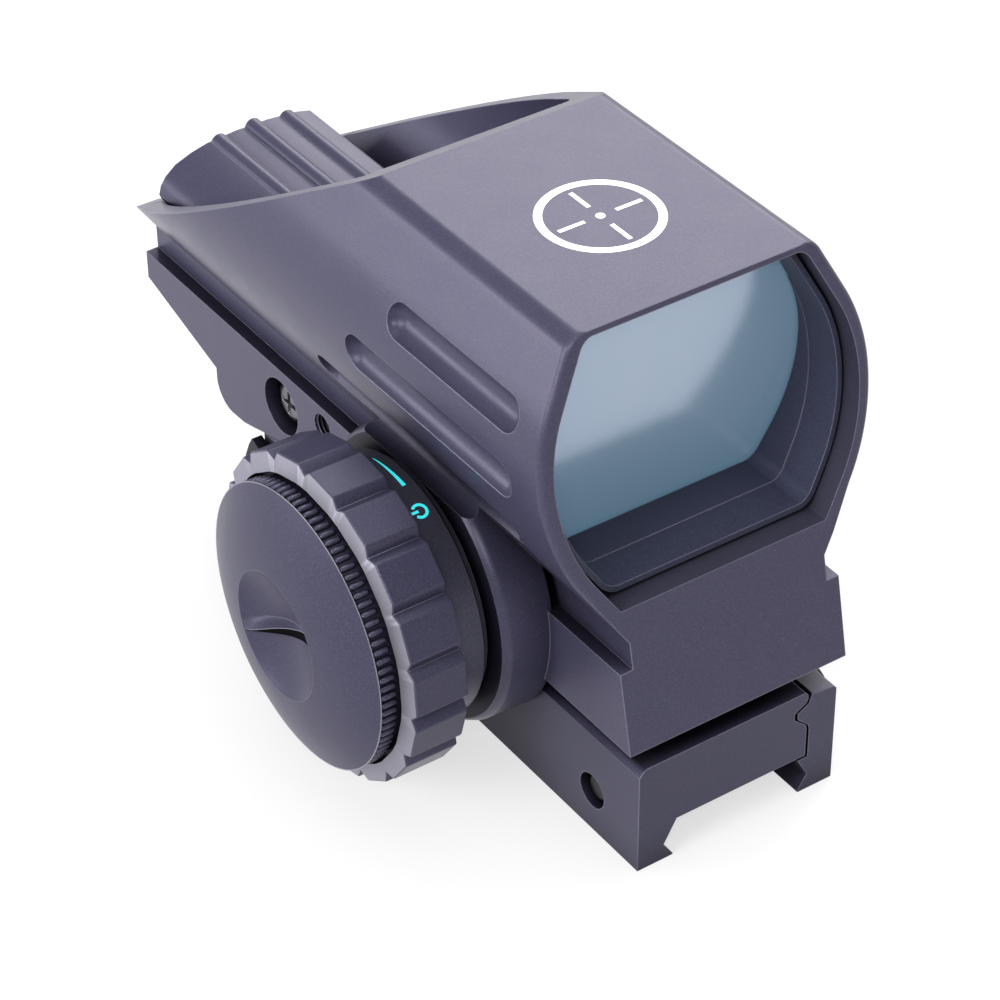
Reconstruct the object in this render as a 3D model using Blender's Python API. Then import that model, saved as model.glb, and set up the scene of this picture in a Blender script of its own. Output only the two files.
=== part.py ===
"""Reflex sight (red dot finder) with a hooded window and a rail clamp.

Metres, +Z up, the window end facing -Y and the brightness dial on -X.
The drawing frame has its origin where the front face meets the underside of the body.
The root empty moves it so that the world origin is the centre of the clamp's rail seat.
"""

import math

import bmesh
import bpy
from mathutils import Matrix, Vector

MM = 0.001
GAP = 0.3                       # clearance that touching pieces keep, mm

# Body, mm
LEAN = math.tan(math.radians(11.82))    # the whole front face leans back
BODY_HALF = 12.3
BODY_TOP = 8.3
BODY_REAR = 84.6
REAR_CHAMFER_TOP = 5.13
REAR_CHAMFER_RUN = 3.4          # length of the rear underside slope per mm of height
NECK_HALF = 10.92
NECK_TOP = 10.93

# Hood, mm: two tangent arcs between a straight flare and a straight shoulder
HOOD_HALF = 17.97
HOOD_WIDEST_Z = 27.43
HOOD_TOP = 40.8
FLARE_ANGLE = math.radians(33.5)
FLARE_RADIUS = 19.4
SHOULDER_ANGLE = math.radians(27.5)
SHOULDER_RADIUS = 16.5
HOOD_CUT_Y = 38.93              # where the sloped rear cut meets the top
HOOD_CUT_SLOPE = 0.59
SPIKE_Z = 12.8                  # height of the rear tips of the side walls

# Window recess, lens and rear channel, mm
RECESS_INSET = 1.45
RECESS_FLOOR = 14.3
RECESS_TOP = 40.2
LENS_FRONT = 13.5
LENS_THICK = 2.0
RECESS_DEPTH = LENS_FRONT + LENS_THICK + GAP
SLEEVE_SETBACK = 2.1
SLEEVE_FLOOR = 15.2
CHANNEL_INSET = 2.0
CHANNEL_FLOOR = 14.8
CHANNEL_TOP = 38.4

# Emitter at the rear of the channel, mm
POCKET_FLOOR = 11.7
POCKET_HALF = 9.5
POCKET_FRONT = 51.0
COVER_FRONT = 54.5
COVER_REAR = 82.7
BAY_HALF = 7.3
BAY_Y = (52.4, 70.85)
BAY_FLOOR = 1.2
RIB_PITCH = 4.05
LED_Z = 16.0

# Brightness dial on the left side, mm
DIAL_Y = 27.24
DIAL_Z = 5.08
BOSS_RADIUS = 14.9
BOSS_FACE = -17.1
COLLAR_RADIUS = 13.1
COLLAR_FACE = -21.7
DIAL_REAR = -22.1
DIAL_FACE = -28.0
TOOTH_RADIUS = 16.25
NOTCH_RADIUS = 15.5
NOTCHES = 18
CAP_RADIUS = 14.1
CAP_RIM = -30.0
CAP_RISE = 2.6
DIMPLE_RADIUS = 6.4
DIMPLE_DEPTH = 1.5
FIN_ANGLE = math.radians(30)

# Side and underside screws, mm
WINDAGE_Y, WINDAGE_Z = 58.5, 3.9
LOCK_Y, LOCK_Z = 50.7, 6.0
ELEVATION_Y = 66.4
COVER_SCREW_X, COVER_SCREW_Y = 5.0, 80.4

# Rail clamp, mm
CLAMP_HALF = 11.33
CLAMP_FRONT = -0.14
CLAMP_LENGTH = 64.04
CLAMP_SHELF = -2.17
SEAT_Z = -9.96
JAW_FOOT = -14.26
NOTCH_HALF = 8.36
NOTCH_Z = -12.48
TIP_HALF = 7.26
SEAT_HALF = 6.95
SEAM_X = 7.98
BOLT_Z = -9.6
BOLT_Y = (7.0, 56.76)
CLAMP_SCREW_Y = (17.5, 46.3)

ROOT_SHIFT = Vector((0.0, -(CLAMP_FRONT + CLAMP_LENGTH / 2), -SEAT_Z)) * MM

ANODISED = ((0.105, 0.100, 0.125, 1), 0.42, 0.75)
NAVY = ((0.040, 0.045, 0.065, 1), 0.55, 0.3)
BLACK_PLASTIC = ((0.02, 0.02, 0.025, 1), 0.5, 0.0)
STEEL = ((0.55, 0.55, 0.57, 1), 0.25, 1.0)
BLACK_STEEL = ((0.06, 0.06, 0.07, 1), 0.35, 0.9)


def material(name, spec):
    """A Principled BSDF material from (colour, roughness, metallic)."""
    colour, roughness, metallic = spec
    made = bpy.data.materials.new(name)
    made.use_nodes = True
    shader = made.node_tree.nodes["Principled BSDF"]
    shader.inputs["Base Color"].default_value = colour
    shader.inputs["Roughness"].default_value = roughness
    shader.inputs["Metallic"].default_value = metallic
    made.diffuse_color = colour
    return made


def finish(name, bm, spec, origin=(0, 0, 0), sharp=32):
    """Turn a bmesh drawn in mm into a named object whose origin is at origin (mm)."""
    bmesh.ops.recalc_face_normals(bm, faces=bm.faces)
    centre = Vector(origin)
    for vert in bm.verts:
        vert.co = (vert.co - centre) * MM
    mesh = bpy.data.meshes.new(name)
    bm.to_mesh(mesh)
    bm.free()
    mesh.shade_smooth()
    mesh.set_sharp_from_angle(angle=math.radians(sharp))
    obj = bpy.data.objects.new(name, mesh)
    bpy.context.scene.collection.objects.link(obj)
    obj.location = centre * MM
    obj.parent = ROOT
    if spec is not None:
        mesh.materials.append(material(name, spec))
    return obj


def cutter(name, bm):
    obj = finish(name, bm, None)
    obj.hide_render = True
    obj.display_type = "WIRE"
    return obj


def boolean(obj, other, operation="DIFFERENCE"):
    step = obj.modifiers.new(other.name, "BOOLEAN")
    step.operation = operation
    step.solver = "EXACT"
    step.object = other


def loft(bm, rings, closed):
    """Skin consecutive rings of equal length; closed joins the last ring to the first."""
    rows = [[bm.verts.new(point) for point in ring] for ring in rings]
    count = len(rows[0])
    pairs = list(zip(rows, rows[1:]))
    if closed:
        pairs.append((rows[-1], rows[0]))
    for low, high in pairs:
        for i in range(count):
            j = (i + 1) % count
            bm.faces.new((low[i], low[j], high[j], high[i]))
    if not closed:
        bm.faces.new(rows[0][::-1])
        bm.faces.new(rows[-1])


def ladder(bm, levels, front, rear):
    """A body symmetric in X from (half width, z) levels; front and rear give y at each z."""
    rows = []
    for half, z in levels:
        ends = ((-half, front(z)), (half, front(z)), (half, rear(z)), (-half, rear(z)))
        rows.append([bm.verts.new((x, y, z)) for x, y in ends])
    for low, high in zip(rows, rows[1:]):
        for i in range(4):
            j = (i + 1) % 4
            bm.faces.new((low[i], low[j], high[j], high[i]))
    bm.faces.new(rows[0][::-1])
    bm.faces.new(rows[-1])


def box(bm, low, high):
    corners = [(low[0], low[1]), (high[0], low[1]), (high[0], high[1]), (low[0], high[1])]
    rings = [[(x, y, z) for x, y in corners] for z in (low[2], high[2])]
    loft(bm, rings, False)


def extrude_y(bm, outline, y0, y1):
    """Extrude an (x, z) outline along Y."""
    loft(bm, [[(x, y, z) for x, z in outline] for y in (y0, y1)], False)


def extrude_x(bm, outline, x0, x1):
    """Extrude a (y, z) outline along X."""
    loft(bm, [[(x, y, z) for y, z in outline] for x in (x0, x1)], False)


def turned(bm, profile, axis, centre, count=32, closed=False):
    """Turn (distance along axis, radius) pairs round an axis through centre."""
    rings = []
    for along, radius in profile:
        ring = []
        for k in range(count):
            angle = 2 * math.pi * k / count
            u, v = radius * math.cos(angle), radius * math.sin(angle)
            if axis == "X":
                ring.append((along, centre[1] + u, centre[2] + v))
            elif axis == "Y":
                ring.append((centre[0] + v, along, centre[2] + u))
            else:
                ring.append((centre[0] + u, centre[1] + v, along))
        rings.append(ring)
    loft(bm, rings, closed)


def hood_half(z, inset=0.0):
    """Half width of the hood's side at height z, moved inwards by inset."""
    low, high = FLARE_RADIUS - inset, SHOULDER_RADIUS - inset
    rise = z - HOOD_WIDEST_Z
    widest = HOOD_HALF - inset
    if rise < -low * math.sin(FLARE_ANGLE):
        past = rise + low * math.sin(FLARE_ANGLE)
        return widest - low * (1 - math.cos(FLARE_ANGLE)) + past * math.tan(FLARE_ANGLE)
    if rise < 0:
        return widest - low + math.sqrt(low * low - rise * rise)
    if rise < high * math.sin(SHOULDER_ANGLE):
        return widest - high + math.sqrt(high * high - rise * rise)
    past = rise - high * math.sin(SHOULDER_ANGLE)
    return widest - high * (1 - math.cos(SHOULDER_ANGLE)) - past * math.tan(SHOULDER_ANGLE)


def hood_levels(inset, floor, top, floor_round=0.0, top_round=0.0, steps=14):
    """(half width, z) levels of the hood's section, with rounded lower and upper corners."""
    levels = []
    if floor_round:
        for k in range(4):
            turn = math.pi / 2 * k / 4
            z = floor + floor_round * (1 - math.cos(turn))
            levels.append((hood_half(z, inset) - floor_round * (1 - math.sin(turn)), z))
    low, high = floor + floor_round, top - top_round
    for k in range(steps + 1):
        z = low + (high - low) * k / steps
        levels.append((hood_half(z, inset), z))
    if top_round:
        for k in range(1, 5):
            turn = math.pi / 2 * k / 4
            z = high + top_round * math.sin(turn)
            levels.append((hood_half(z, inset) - top_round * (1 - math.cos(turn)), z))
    return levels


def front_face(z):
    return LEAN * z


def body_rear(z):
    """Rear end of the body: underside slope, upright face, spike, then the hood's cut."""
    if z <= REAR_CHAMFER_TOP:
        return BODY_REAR - (REAR_CHAMFER_TOP - z) * REAR_CHAMFER_RUN
    if z <= NECK_TOP:
        return BODY_REAR
    cut = HOOD_CUT_Y + (HOOD_TOP - z) / HOOD_CUT_SLOPE
    return min(cut, BODY_REAR + (z - NECK_TOP))


def body_blank():
    """Body block, neck and hood in one piece, before the openings are cut."""
    levels = [(BODY_HALF, 0.0), (BODY_HALF, REAR_CHAMFER_TOP), (BODY_HALF, BODY_TOP)]
    levels += [(NECK_HALF, BODY_TOP + 0.05), (NECK_HALF, NECK_TOP), (hood_half(SPIKE_Z), SPIKE_Z)]
    levels += hood_levels(0.0, 14.6, HOOD_TOP, 0.0, 1.3)
    bm = bmesh.new()
    ladder(bm, levels, front_face, body_rear)
    return finish("housing", bm, ANODISED)


def boss_blank():
    """Round boss that carries the dial; its back stops just inside the body's side."""
    bm = bmesh.new()
    profile = [(-11.9, BOSS_RADIUS), (BOSS_FACE + 0.9, BOSS_RADIUS - 0.15)]
    profile += [(BOSS_FACE + 0.3, BOSS_RADIUS - 0.4), (BOSS_FACE, BOSS_RADIUS - 0.7)]
    turned(bm, profile, "X", (0, DIAL_Y, DIAL_Z), 56)
    return cutter("join_boss", bm)


def heel_blank():
    """Rounded heel under the rear of the body that houses the elevation screw."""
    outline = [(54.0, 1.0), (57.0, 0.0), (61.8, -1.4), (64.2, -2.1), (66.2, -2.6)]
    for k in range(8):
        turn = math.radians(270 + 90 * k / 7)
        outline.append((68.45 + 2.85 * math.cos(turn), 0.15 + 2.85 * math.sin(turn)))
    outline += [(71.3, 3.0), (66.0, 4.0)]
    bm = bmesh.new()
    extrude_x(bm, outline, -BODY_HALF + 0.1, BODY_HALF - 0.1)
    return cutter("join_heel", bm)


def window_cutter():
    """Front recess for the sleeve and lens."""
    bm = bmesh.new()
    levels = hood_levels(RECESS_INSET, RECESS_FLOOR, RECESS_TOP, 0.9, 0.9)
    ladder(bm, levels, lambda z: LEAN * z - 4, lambda z: RECESS_DEPTH)
    return cutter("cut_window", bm)


def channel_cutter():
    """Open channel behind the lens, out through the sloped rear."""
    bm = bmesh.new()
    levels = hood_levels(CHANNEL_INSET, CHANNEL_FLOOR, CHANNEL_TOP, 0.0, 1.2)
    ladder(bm, levels, lambda z: RECESS_DEPTH - 1.0, lambda z: BODY_REAR + 8)
    return cutter("cut_channel", bm)


def pocket_cutter():
    """Seat for the emitter cover, open at the rear, and the adjuster bay below it."""
    bm = bmesh.new()
    box(bm, (-POCKET_HALF, POCKET_FRONT, POCKET_FLOOR), (POCKET_HALF, BODY_REAR + 4, 16.0))
    return cutter("cut_emitter_pocket", bm)


def bay_cutter():
    bm = bmesh.new()
    box(bm, (-BAY_HALF, BAY_Y[0], BAY_FLOOR), (BAY_HALF, BAY_Y[1], POCKET_FLOOR + 1))
    return cutter("cut_adjuster_bay", bm)


def side_groove(bm, side, z, radius, y0, y1):
    """A round-ended flute lying along Y in the hood's side."""
    x = side * (hood_half(z) + radius - 1.15)
    rings = []
    steps = 6
    for end, y, turn in ((-1, y0 + radius, 0), (1, y1 - radius, 1)):
        for k in range(steps + 1):
            t = math.pi / 2 * (k if end < 0 else steps - k) / steps
            size = max(radius * math.sin(t), 0.02)
            along = y + end * radius * math.cos(t)
            ring = []
            for i in range(16):
                a = 2 * math.pi * i / 16
                ring.append((x + size * math.cos(a), along, z + size * math.sin(a)))
            rings.append(ring)
    loft(bm, rings, False)


def groove_cutter():
    bm = bmesh.new()
    for side in (-1, 1):
        side_groove(bm, side, 32.85, 1.95, 10.3, 30.6)
        side_groove(bm, side, 26.1, 2.15, 10.1, 36.8)
        side_groove(bm, side, 18.9, 2.0, 11.3, 44.3)
    return cutter("cut_grooves", bm)


def boss_cavity_cutter():
    bm = bmesh.new()
    turned(bm, [(-12.9, 11.5), (BOSS_FACE - 1, 11.5)], "X", (0, DIAL_Y, DIAL_Z), 40)
    return cutter("cut_boss_cavity", bm)


def screw_hole_cutter():
    """Stepped holes: windage, windage lock, elevation, cover screws and clamp screws."""
    bm = bmesh.new()
    windage = [(-13.5, 3.1), (-9.2, 3.1), (-9.2, 1.5), (-6.5, 1.5)]
    turned(bm, windage, "X", (0, WINDAGE_Y, WINDAGE_Z), 28)
    turned(bm, [(-13.5, 1.45), (-8.0, 1.45)], "X", (0, LOCK_Y, LOCK_Z), 20)
    elevation = [(-4.0, 2.45), (0.0, 2.45), (0.0, 1.95), (1.8, 1.95)]
    turned(bm, elevation, "Z", (0, ELEVATION_Y), 24)
    for side in (-1, 1):
        cover = [(0.5, 2.2), (6.6, 2.2), (6.6, 1.3), (13.0, 1.3)]
        turned(bm, cover, "Z", (side * COVER_SCREW_X, COVER_SCREW_Y), 20)
    for y in CLAMP_SCREW_Y:
        turned(bm, [(-1.0, 2.0), (6.6, 2.0)], "Z", (0, y), 20)
    return cutter("cut_screw_holes", bm)


def make_housing():
    housing = body_blank()
    boolean(housing, boss_blank(), "UNION")
    boolean(housing, heel_blank(), "UNION")
    for hole in (window_cutter, channel_cutter, pocket_cutter, bay_cutter, groove_cutter):
        boolean(housing, hole())
    boolean(housing, boss_cavity_cutter())
    boolean(housing, screw_hole_cutter())
    return housing


def make_lens_sleeve():
    """Dark inner sleeve that frames the glass and holds it against the recess shoulder."""
    bm = bmesh.new()
    outer = hood_levels(RECESS_INSET + GAP, SLEEVE_FLOOR - 0.55, RECESS_TOP - GAP, 1.1, 0.9)
    rear = LENS_FRONT - GAP
    ladder(bm, outer, lambda z: LEAN * z + SLEEVE_SETBACK, lambda z: rear)
    sleeve = finish("lens_sleeve", bm, NAVY)
    hole = bmesh.new()
    inner = hood_levels(RECESS_INSET + GAP + 0.6, SLEEVE_FLOOR, RECESS_TOP - 0.9, 0.9, 0.7)
    ladder(hole, inner, lambda z: LEAN * z - 2, lambda z: rear + 2)
    boolean(sleeve, cutter("cut_sleeve_bore", hole))


def make_lens():
    bm = bmesh.new()
    outline = hood_levels(RECESS_INSET + GAP, RECESS_FLOOR + GAP, RECESS_TOP - GAP, 0.9, 0.9)
    ladder(bm, outline, lambda z: LENS_FRONT, lambda z: LENS_FRONT + LENS_THICK)
    finish("lens", bm, ((0.35, 0.52, 0.62, 1), 0.05, 0.0))


def cover_outline():
    """Section of the emitter cover: chamfered on the left, upright on the right."""
    left = [(-9.2, 12.0), (-9.2, 15.1), (-11.0, 15.15), (-11.3, 15.8), (-10.55, 17.6)]
    roof = [(-7.26, 19.4), (-5.4, 19.85), (-1.9, 20.15), (1.9, 20.15), (5.4, 19.85), (7.0, 19.45)]
    return left + roof + [(7.15, 15.6), (9.2, 15.1), (9.2, 12.0)]


def make_emitter_cover():
    """Ribbed cover over the light source, open at the front and underneath."""
    bm = bmesh.new()
    extrude_y(bm, cover_outline(), COVER_FRONT, COVER_REAR)
    cover = finish("emitter_cover", bm, ANODISED)
    ribs = bmesh.new()
    for place in (-1, 0, 1):
        z = 19.72 if place == 0 else 19.3
        profile = [(COVER_FRONT + 0.4, 1.1), (COVER_REAR - 0.05, 1.1)]
        turned(ribs, profile, "Y", (place * RIB_PITCH, 0, z), 16)
    boolean(cover, cutter("join_ribs", ribs), "UNION")
    bay = bmesh.new()
    roof = 18.2
    box(bay, (-6.3, COVER_FRONT - 2, 10.0), (5.9, 78.0, roof))
    boolean(cover, cutter("cut_cover_bay", bay))
    holes = bmesh.new()
    for side in (-1, 1):
        turned(holes, [(11.0, 1.2), (15.6, 1.2)], "Z", (side * COVER_SCREW_X, COVER_SCREW_Y), 16)
    boolean(cover, cutter("cut_cover_holes", holes))


def make_emitter_carriage():
    """Block that the windage screw draws across the body; a square well holds the LED post."""
    bm = bmesh.new()
    box(bm, (-5.6, 53.0, 1.6), (5.6, 70.5, 11.2))
    carriage = finish("emitter_carriage", bm, BLACK_STEEL, (0, WINDAGE_Y, WINDAGE_Z))
    well = bmesh.new()
    box(well, (-3.8, ELEVATION_Y - 3.4, 1.0), (3.8, ELEVATION_Y + 3.4, 13.0))
    boolean(carriage, cutter("cut_carriage_well", well))
    hole = bmesh.new()
    turned(hole, [(-8.0, 1.4), (8.0, 1.4)], "X", (0, WINDAGE_Y, WINDAGE_Z), 20)
    boolean(carriage, cutter("cut_carriage_hole", hole))


def make_led_holder():
    """Post that the elevation screw raises, with the snout that carries the LED."""
    bm = bmesh.new()
    box(bm, (-3.5, ELEVATION_Y - 3.1, 3.4), (3.5, ELEVATION_Y + 3.1, 17.3))
    holder = finish("led_holder", bm, BLACK_PLASTIC, (0, ELEVATION_Y, 3.4))
    snout = bmesh.new()
    turned(snout, [(55.6, 1.55), (64.4, 1.55)], "Y", (0, 0, LED_Z - 0.4), 20)
    boolean(holder, cutter("join_snout", snout), "UNION")
    slot = bmesh.new()
    box(slot, (-2.75, ELEVATION_Y - 2.0, 2.0), (2.75, ELEVATION_Y + 2.0, 10.4))
    turned(slot, [(54.6, 1.05), (60.2, 1.05)], "Y", (0, 0, LED_Z - 0.4), 16)
    boolean(holder, cutter("cut_holder", slot))


def make_led():
    bm = bmesh.new()
    profile = [(54.9, 0.25), (55.1, 0.55), (55.5, 0.75), (59.8, 0.75)]
    turned(bm, profile, "Y", (0, 0, LED_Z - 0.4), 16)
    finish("led", bm, ((0.6, 0.05, 0.04, 1), 0.15, 0.0))


def make_windage_screw():
    bm = bmesh.new()
    profile = [(-11.4, 1.5), (-11.1, 2.2), (-10.6, 2.5), (-9.6, 2.5), (-9.6, 1.1), (6.2, 1.1)]
    turned(bm, profile, "X", (0, WINDAGE_Y, WINDAGE_Z), 28)
    screw = finish("windage_screw", bm, STEEL, (0, WINDAGE_Y, WINDAGE_Z))
    recess_at(screw, "cut_windage_cross", 1.5, -12.5, -10.2, "X", (0, WINDAGE_Y, WINDAGE_Z))


def recess_at(screw, name, size, top, bottom, axis, centre):
    """Cut a cross recess into a screw head lying on X or standing on Z."""
    for part, (a, b) in enumerate(((size, 0.32), (0.32, size))):
        bm = bmesh.new()
        if axis == "X":
            low = (min(top, bottom), centre[1] - a, centre[2] - b)
            high = (max(top, bottom), centre[1] + a, centre[2] + b)
        else:
            low = (centre[0] - a, centre[1] - b, min(top, bottom))
            high = (centre[0] + a, centre[1] + b, max(top, bottom))
        box(bm, low, high)
        boolean(screw, cutter(name + "_" + str(part), bm))


def make_lock_screw():
    bm = bmesh.new()
    turned(bm, [(-11.0, 0.9), (-10.8, 1.12), (-8.3, 1.12)], "X", (0, LOCK_Y, LOCK_Z), 18)
    screw = finish("windage_lock_screw", bm, BLACK_STEEL, (0, LOCK_Y, LOCK_Z))
    socket = bmesh.new()
    turned(socket, [(-12.0, 0.55), (-10.0, 0.55)], "X", (0, LOCK_Y, LOCK_Z), 6)
    boolean(screw, cutter("cut_lock_socket", socket))


def make_elevation_screw():
    bm = bmesh.new()
    profile = [(-1.7, 1.75), (-1.4, 2.15), (-0.3, 2.15), (-0.3, 1.6), (8.6, 1.6)]
    turned(bm, profile, "Z", (0, ELEVATION_Y), 24)
    screw = finish("elevation_screw", bm, STEEL, (0, ELEVATION_Y, 0))
    recess_at(screw, "cut_elevation_cross", 1.4, -4.0, -0.8, "Z", (0, ELEVATION_Y))


def make_cover_screws():
    for side, name in ((-1, "cover_screw_left"), (1, "cover_screw_right")):
        centre = (side * COVER_SCREW_X, COVER_SCREW_Y)
        bm = bmesh.new()
        turned(bm, [(4.6, 1.6), (4.9, 1.85), (6.3, 1.85), (6.3, 0.9), (15.2, 0.9)], "Z", centre, 18)
        screw = finish(name, bm, BLACK_STEEL, (centre[0], centre[1], 5.0))
        recess_at(screw, "cut_" + name, 1.1, 3.0, 5.6, "Z", centre)


def clamp_outline():
    """Section of the fixed half of the clamp, clockwise from the outer left foot."""
    left = [(-CLAMP_HALF, JAW_FOOT), (-CLAMP_HALF, -2.99), (-10.95, -2.45), (-10.5, CLAMP_SHELF)]
    right = [(7.62, CLAMP_SHELF), (7.95, -2.5), (SEAM_X, -2.99), (7.81, -3.41), (6.47, -4.19)]
    right += [(6.47, -4.92), (7.87, -6.14), (SEAM_X, -6.6), (SEAM_X, SEAT_Z)]
    under = [(-SEAT_HALF, SEAT_Z), (-NOTCH_HALF, NOTCH_Z), (-TIP_HALF, -14.15), (-7.4, JAW_FOOT)]
    return left + right + under


def make_clamp_base():
    y0, y1 = CLAMP_FRONT, CLAMP_FRONT + CLAMP_LENGTH
    bm = bmesh.new()
    extrude_y(bm, clamp_outline(), y0, y1)
    base = finish("clamp_base", bm, ANODISED)
    pad = bmesh.new()
    box(pad, (-6.8, y0 + 3.2, CLAMP_SHELF - 1.0), (5.6, 56.0, -GAP))
    boolean(base, cutter("join_clamp_pad", pad), "UNION")
    step = bmesh.new()
    box(step, (-CLAMP_HALF - 1, 62.9, CLAMP_SHELF - 0.4), (SEAM_X + 2, y1 + 2, 1.0))
    boolean(base, cutter("cut_clamp_step", step))
    holes = bmesh.new()
    for y in BOLT_Y:
        turned(holes, [(-13.0, 1.85), (9.5, 1.85)], "X", (0, y, BOLT_Z), 24)
    for y in CLAMP_SCREW_Y:
        turned(holes, [(-11.5, 3.3), (-7.2, 3.3), (-7.2, 2.1), (1.0, 2.1)], "Z", (0, y), 24)
    boolean(base, cutter("cut_clamp_holes", holes))


def make_clamp_jaw():
    """Movable half of the clamp; its tongue slides in the fixed half's groove."""
    y0, y1 = CLAMP_FRONT, CLAMP_FRONT + CLAMP_LENGTH
    seam = SEAM_X + GAP
    flank = (NOTCH_Z - (SEAT_Z - GAP)) / (NOTCH_Z - SEAT_Z)
    inner = NOTCH_HALF - (NOTCH_HALF - SEAT_HALF) * flank
    outline = [(CLAMP_HALF, JAW_FOOT), (7.4, JAW_FOOT), (TIP_HALF, -14.15), (NOTCH_HALF, NOTCH_Z)]
    outline += [(inner, SEAT_Z - GAP), (seam, SEAT_Z - GAP), (seam, -6.7), (8.1, -6.2)]
    outline += [(6.85, -5.05), (6.85, -4.35), (8.1, -3.65), (seam, -3.1), (8.45, -2.6)]
    outline += [(9.2, -2.75), (10.6, -2.9), (11.0, -2.95), (CLAMP_HALF, -3.3)]
    bm = bmesh.new()
    extrude_y(bm, outline, y0, y1)
    jaw = finish("clamp_jaw", bm, ANODISED, (8.3, CLAMP_FRONT + CLAMP_LENGTH / 2, SEAT_Z))
    holes = bmesh.new()
    for y in BOLT_Y:
        turned(holes, [(5.0, 1.8), (13.0, 1.8)], "X", (0, y, BOLT_Z), 24)
    boolean(jaw, cutter("cut_jaw_holes", holes))


def make_clamp_bolts():
    for name, y in zip(("clamp_bolt_front", "clamp_bolt_rear"), BOLT_Y):
        bm = bmesh.new()
        profile = [(-10.7, 1.3), (-10.4, 1.5), (11.65, 1.5), (11.65, 3.1), (14.3, 3.1), (14.6, 2.8)]
        turned(bm, profile, "X", (0, y, BOLT_Z), 24)
        bolt = finish(name, bm, BLACK_STEEL, (11.65, y, BOLT_Z))
        socket = bmesh.new()
        turned(socket, [(12.6, 1.55), (16.0, 1.55)], "X", (0, y, BOLT_Z), 6)
        boolean(bolt, cutter("cut_" + name, socket))


def make_lock_plate():
    """Thin plate on the fixed half that holds the nut of the rear clamp bolt."""
    outline = []
    for k in range(11):
        turn = math.radians(120 + 180 * k / 10)
        outline.append((BOLT_Y[1] + 4.3 * math.cos(turn), BOLT_Z + 4.3 * math.sin(turn)))
    outline += [(64.6, -10.6), (65.9, -8.8), (65.9, -7.3), (65.2, -5.6), (64.6, -4.2)]
    outline += [(63.9, -3.05), (62.4, -3.65), (57.4, -5.2)]
    bm = bmesh.new()
    extrude_x(bm, outline, -CLAMP_HALF - 1.55, -CLAMP_HALF - GAP)
    plate = finish("clamp_lock_plate", bm, BLACK_STEEL)
    hole = bmesh.new()
    turned(hole, [(-14.0, 1.8), (-10.0, 1.8)], "X", (0, BOLT_Y[1], BOLT_Z), 24)
    boolean(plate, cutter("cut_lock_plate", hole))


def make_clamp_screws():
    for name, y in zip(("clamp_screw_front", "clamp_screw_rear"), CLAMP_SCREW_Y):
        bm = bmesh.new()
        profile = [(-9.9, 2.7), (-9.6, 3.0), (-7.5, 3.0), (-7.5, 1.7), (5.8, 1.7), (6.2, 1.4)]
        turned(bm, profile, "Z", (0, y), 24)
        screw = finish(name, bm, BLACK_STEEL, (0, y, -7.5))
        socket = bmesh.new()
        turned(socket, [(-11.0, 1.5), (-8.6, 1.5)], "Z", (0, y), 6)
        boolean(screw, cutter("cut_" + name, socket))


def make_index_collar():
    """Fixed collar between boss and dial that carries the brightness marks."""
    bm = bmesh.new()
    profile = [(-17.4, 10.8), (-17.4, COLLAR_RADIUS), (COLLAR_FACE + 0.3, COLLAR_RADIUS)]
    profile += [(COLLAR_FACE, COLLAR_RADIUS - 0.3), (COLLAR_FACE, 10.8)]
    turned(bm, profile, "X", (0, DIAL_Y, DIAL_Z), 48, closed=True)
    finish("index_collar", bm, ANODISED)


def dial_outline():
    """(angle, radius) round the dial: flat teeth between narrow V notches."""
    pitch = 2 * math.pi / NOTCHES
    narrow = math.radians(3.4)
    shape = [(0.0, NOTCH_RADIUS), (narrow, TOOTH_RADIUS), (pitch - narrow, TOOTH_RADIUS)]
    return [(k * pitch + offset, radius) for k in range(NOTCHES) for offset, radius in shape]


def make_dial_ring():
    """Notched brightness dial with a hub that runs in the collar and a well for the cell."""
    turn = math.radians(14.6)
    profile = [(DIAL_FACE, 0), (DIAL_REAR, 0), (DIAL_REAR, 10.5), (-17.2, 10.5), (-17.2, 9.7)]
    profile += [(-16.2, 9.7), (-16.2, 10.5), (-14.4, 10.5), (-14.4, 9.0), (-22.0, 9.0)]
    profile += [(-22.0, 3.0), (-23.1, 3.0), (-23.1, 10.4), (-26.8, 10.4), (-26.8, 14.5)]
    profile += [(DIAL_FACE, 14.5)]
    rings = []
    for x, radius in profile:
        ring = []
        for angle, outer in dial_outline():
            size = radius or outer
            y = DIAL_Y - size * math.cos(angle + turn)
            ring.append((x, y, DIAL_Z + size * math.sin(angle + turn)))
        rings.append(ring)
    bm = bmesh.new()
    loft(bm, rings, True)
    finish("dial_ring", bm, ANODISED, (DIAL_FACE, DIAL_Y, DIAL_Z))


def make_dial_clip():
    """Retaining ring in the hub's groove, behind the collar."""
    bm = bmesh.new()
    profile = [(-17.05, 10.0), (-17.05, 11.15), (-16.4, 11.15), (-16.4, 10.0)]
    turned(bm, profile, "X", (0, DIAL_Y, DIAL_Z), 40, closed=True)
    finish("dial_clip", bm, STEEL)


def cap_face(radius):
    """x of the cap's domed face with its round thumb dimple."""
    x = CAP_RIM - CAP_RISE * (1 - (radius / (CAP_RADIUS - 0.3)) ** 2.4)
    if radius < DIMPLE_RADIUS:
        x += DIMPLE_DEPTH * (1 - (radius / DIMPLE_RADIUS) ** 2)
    return x


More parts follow.
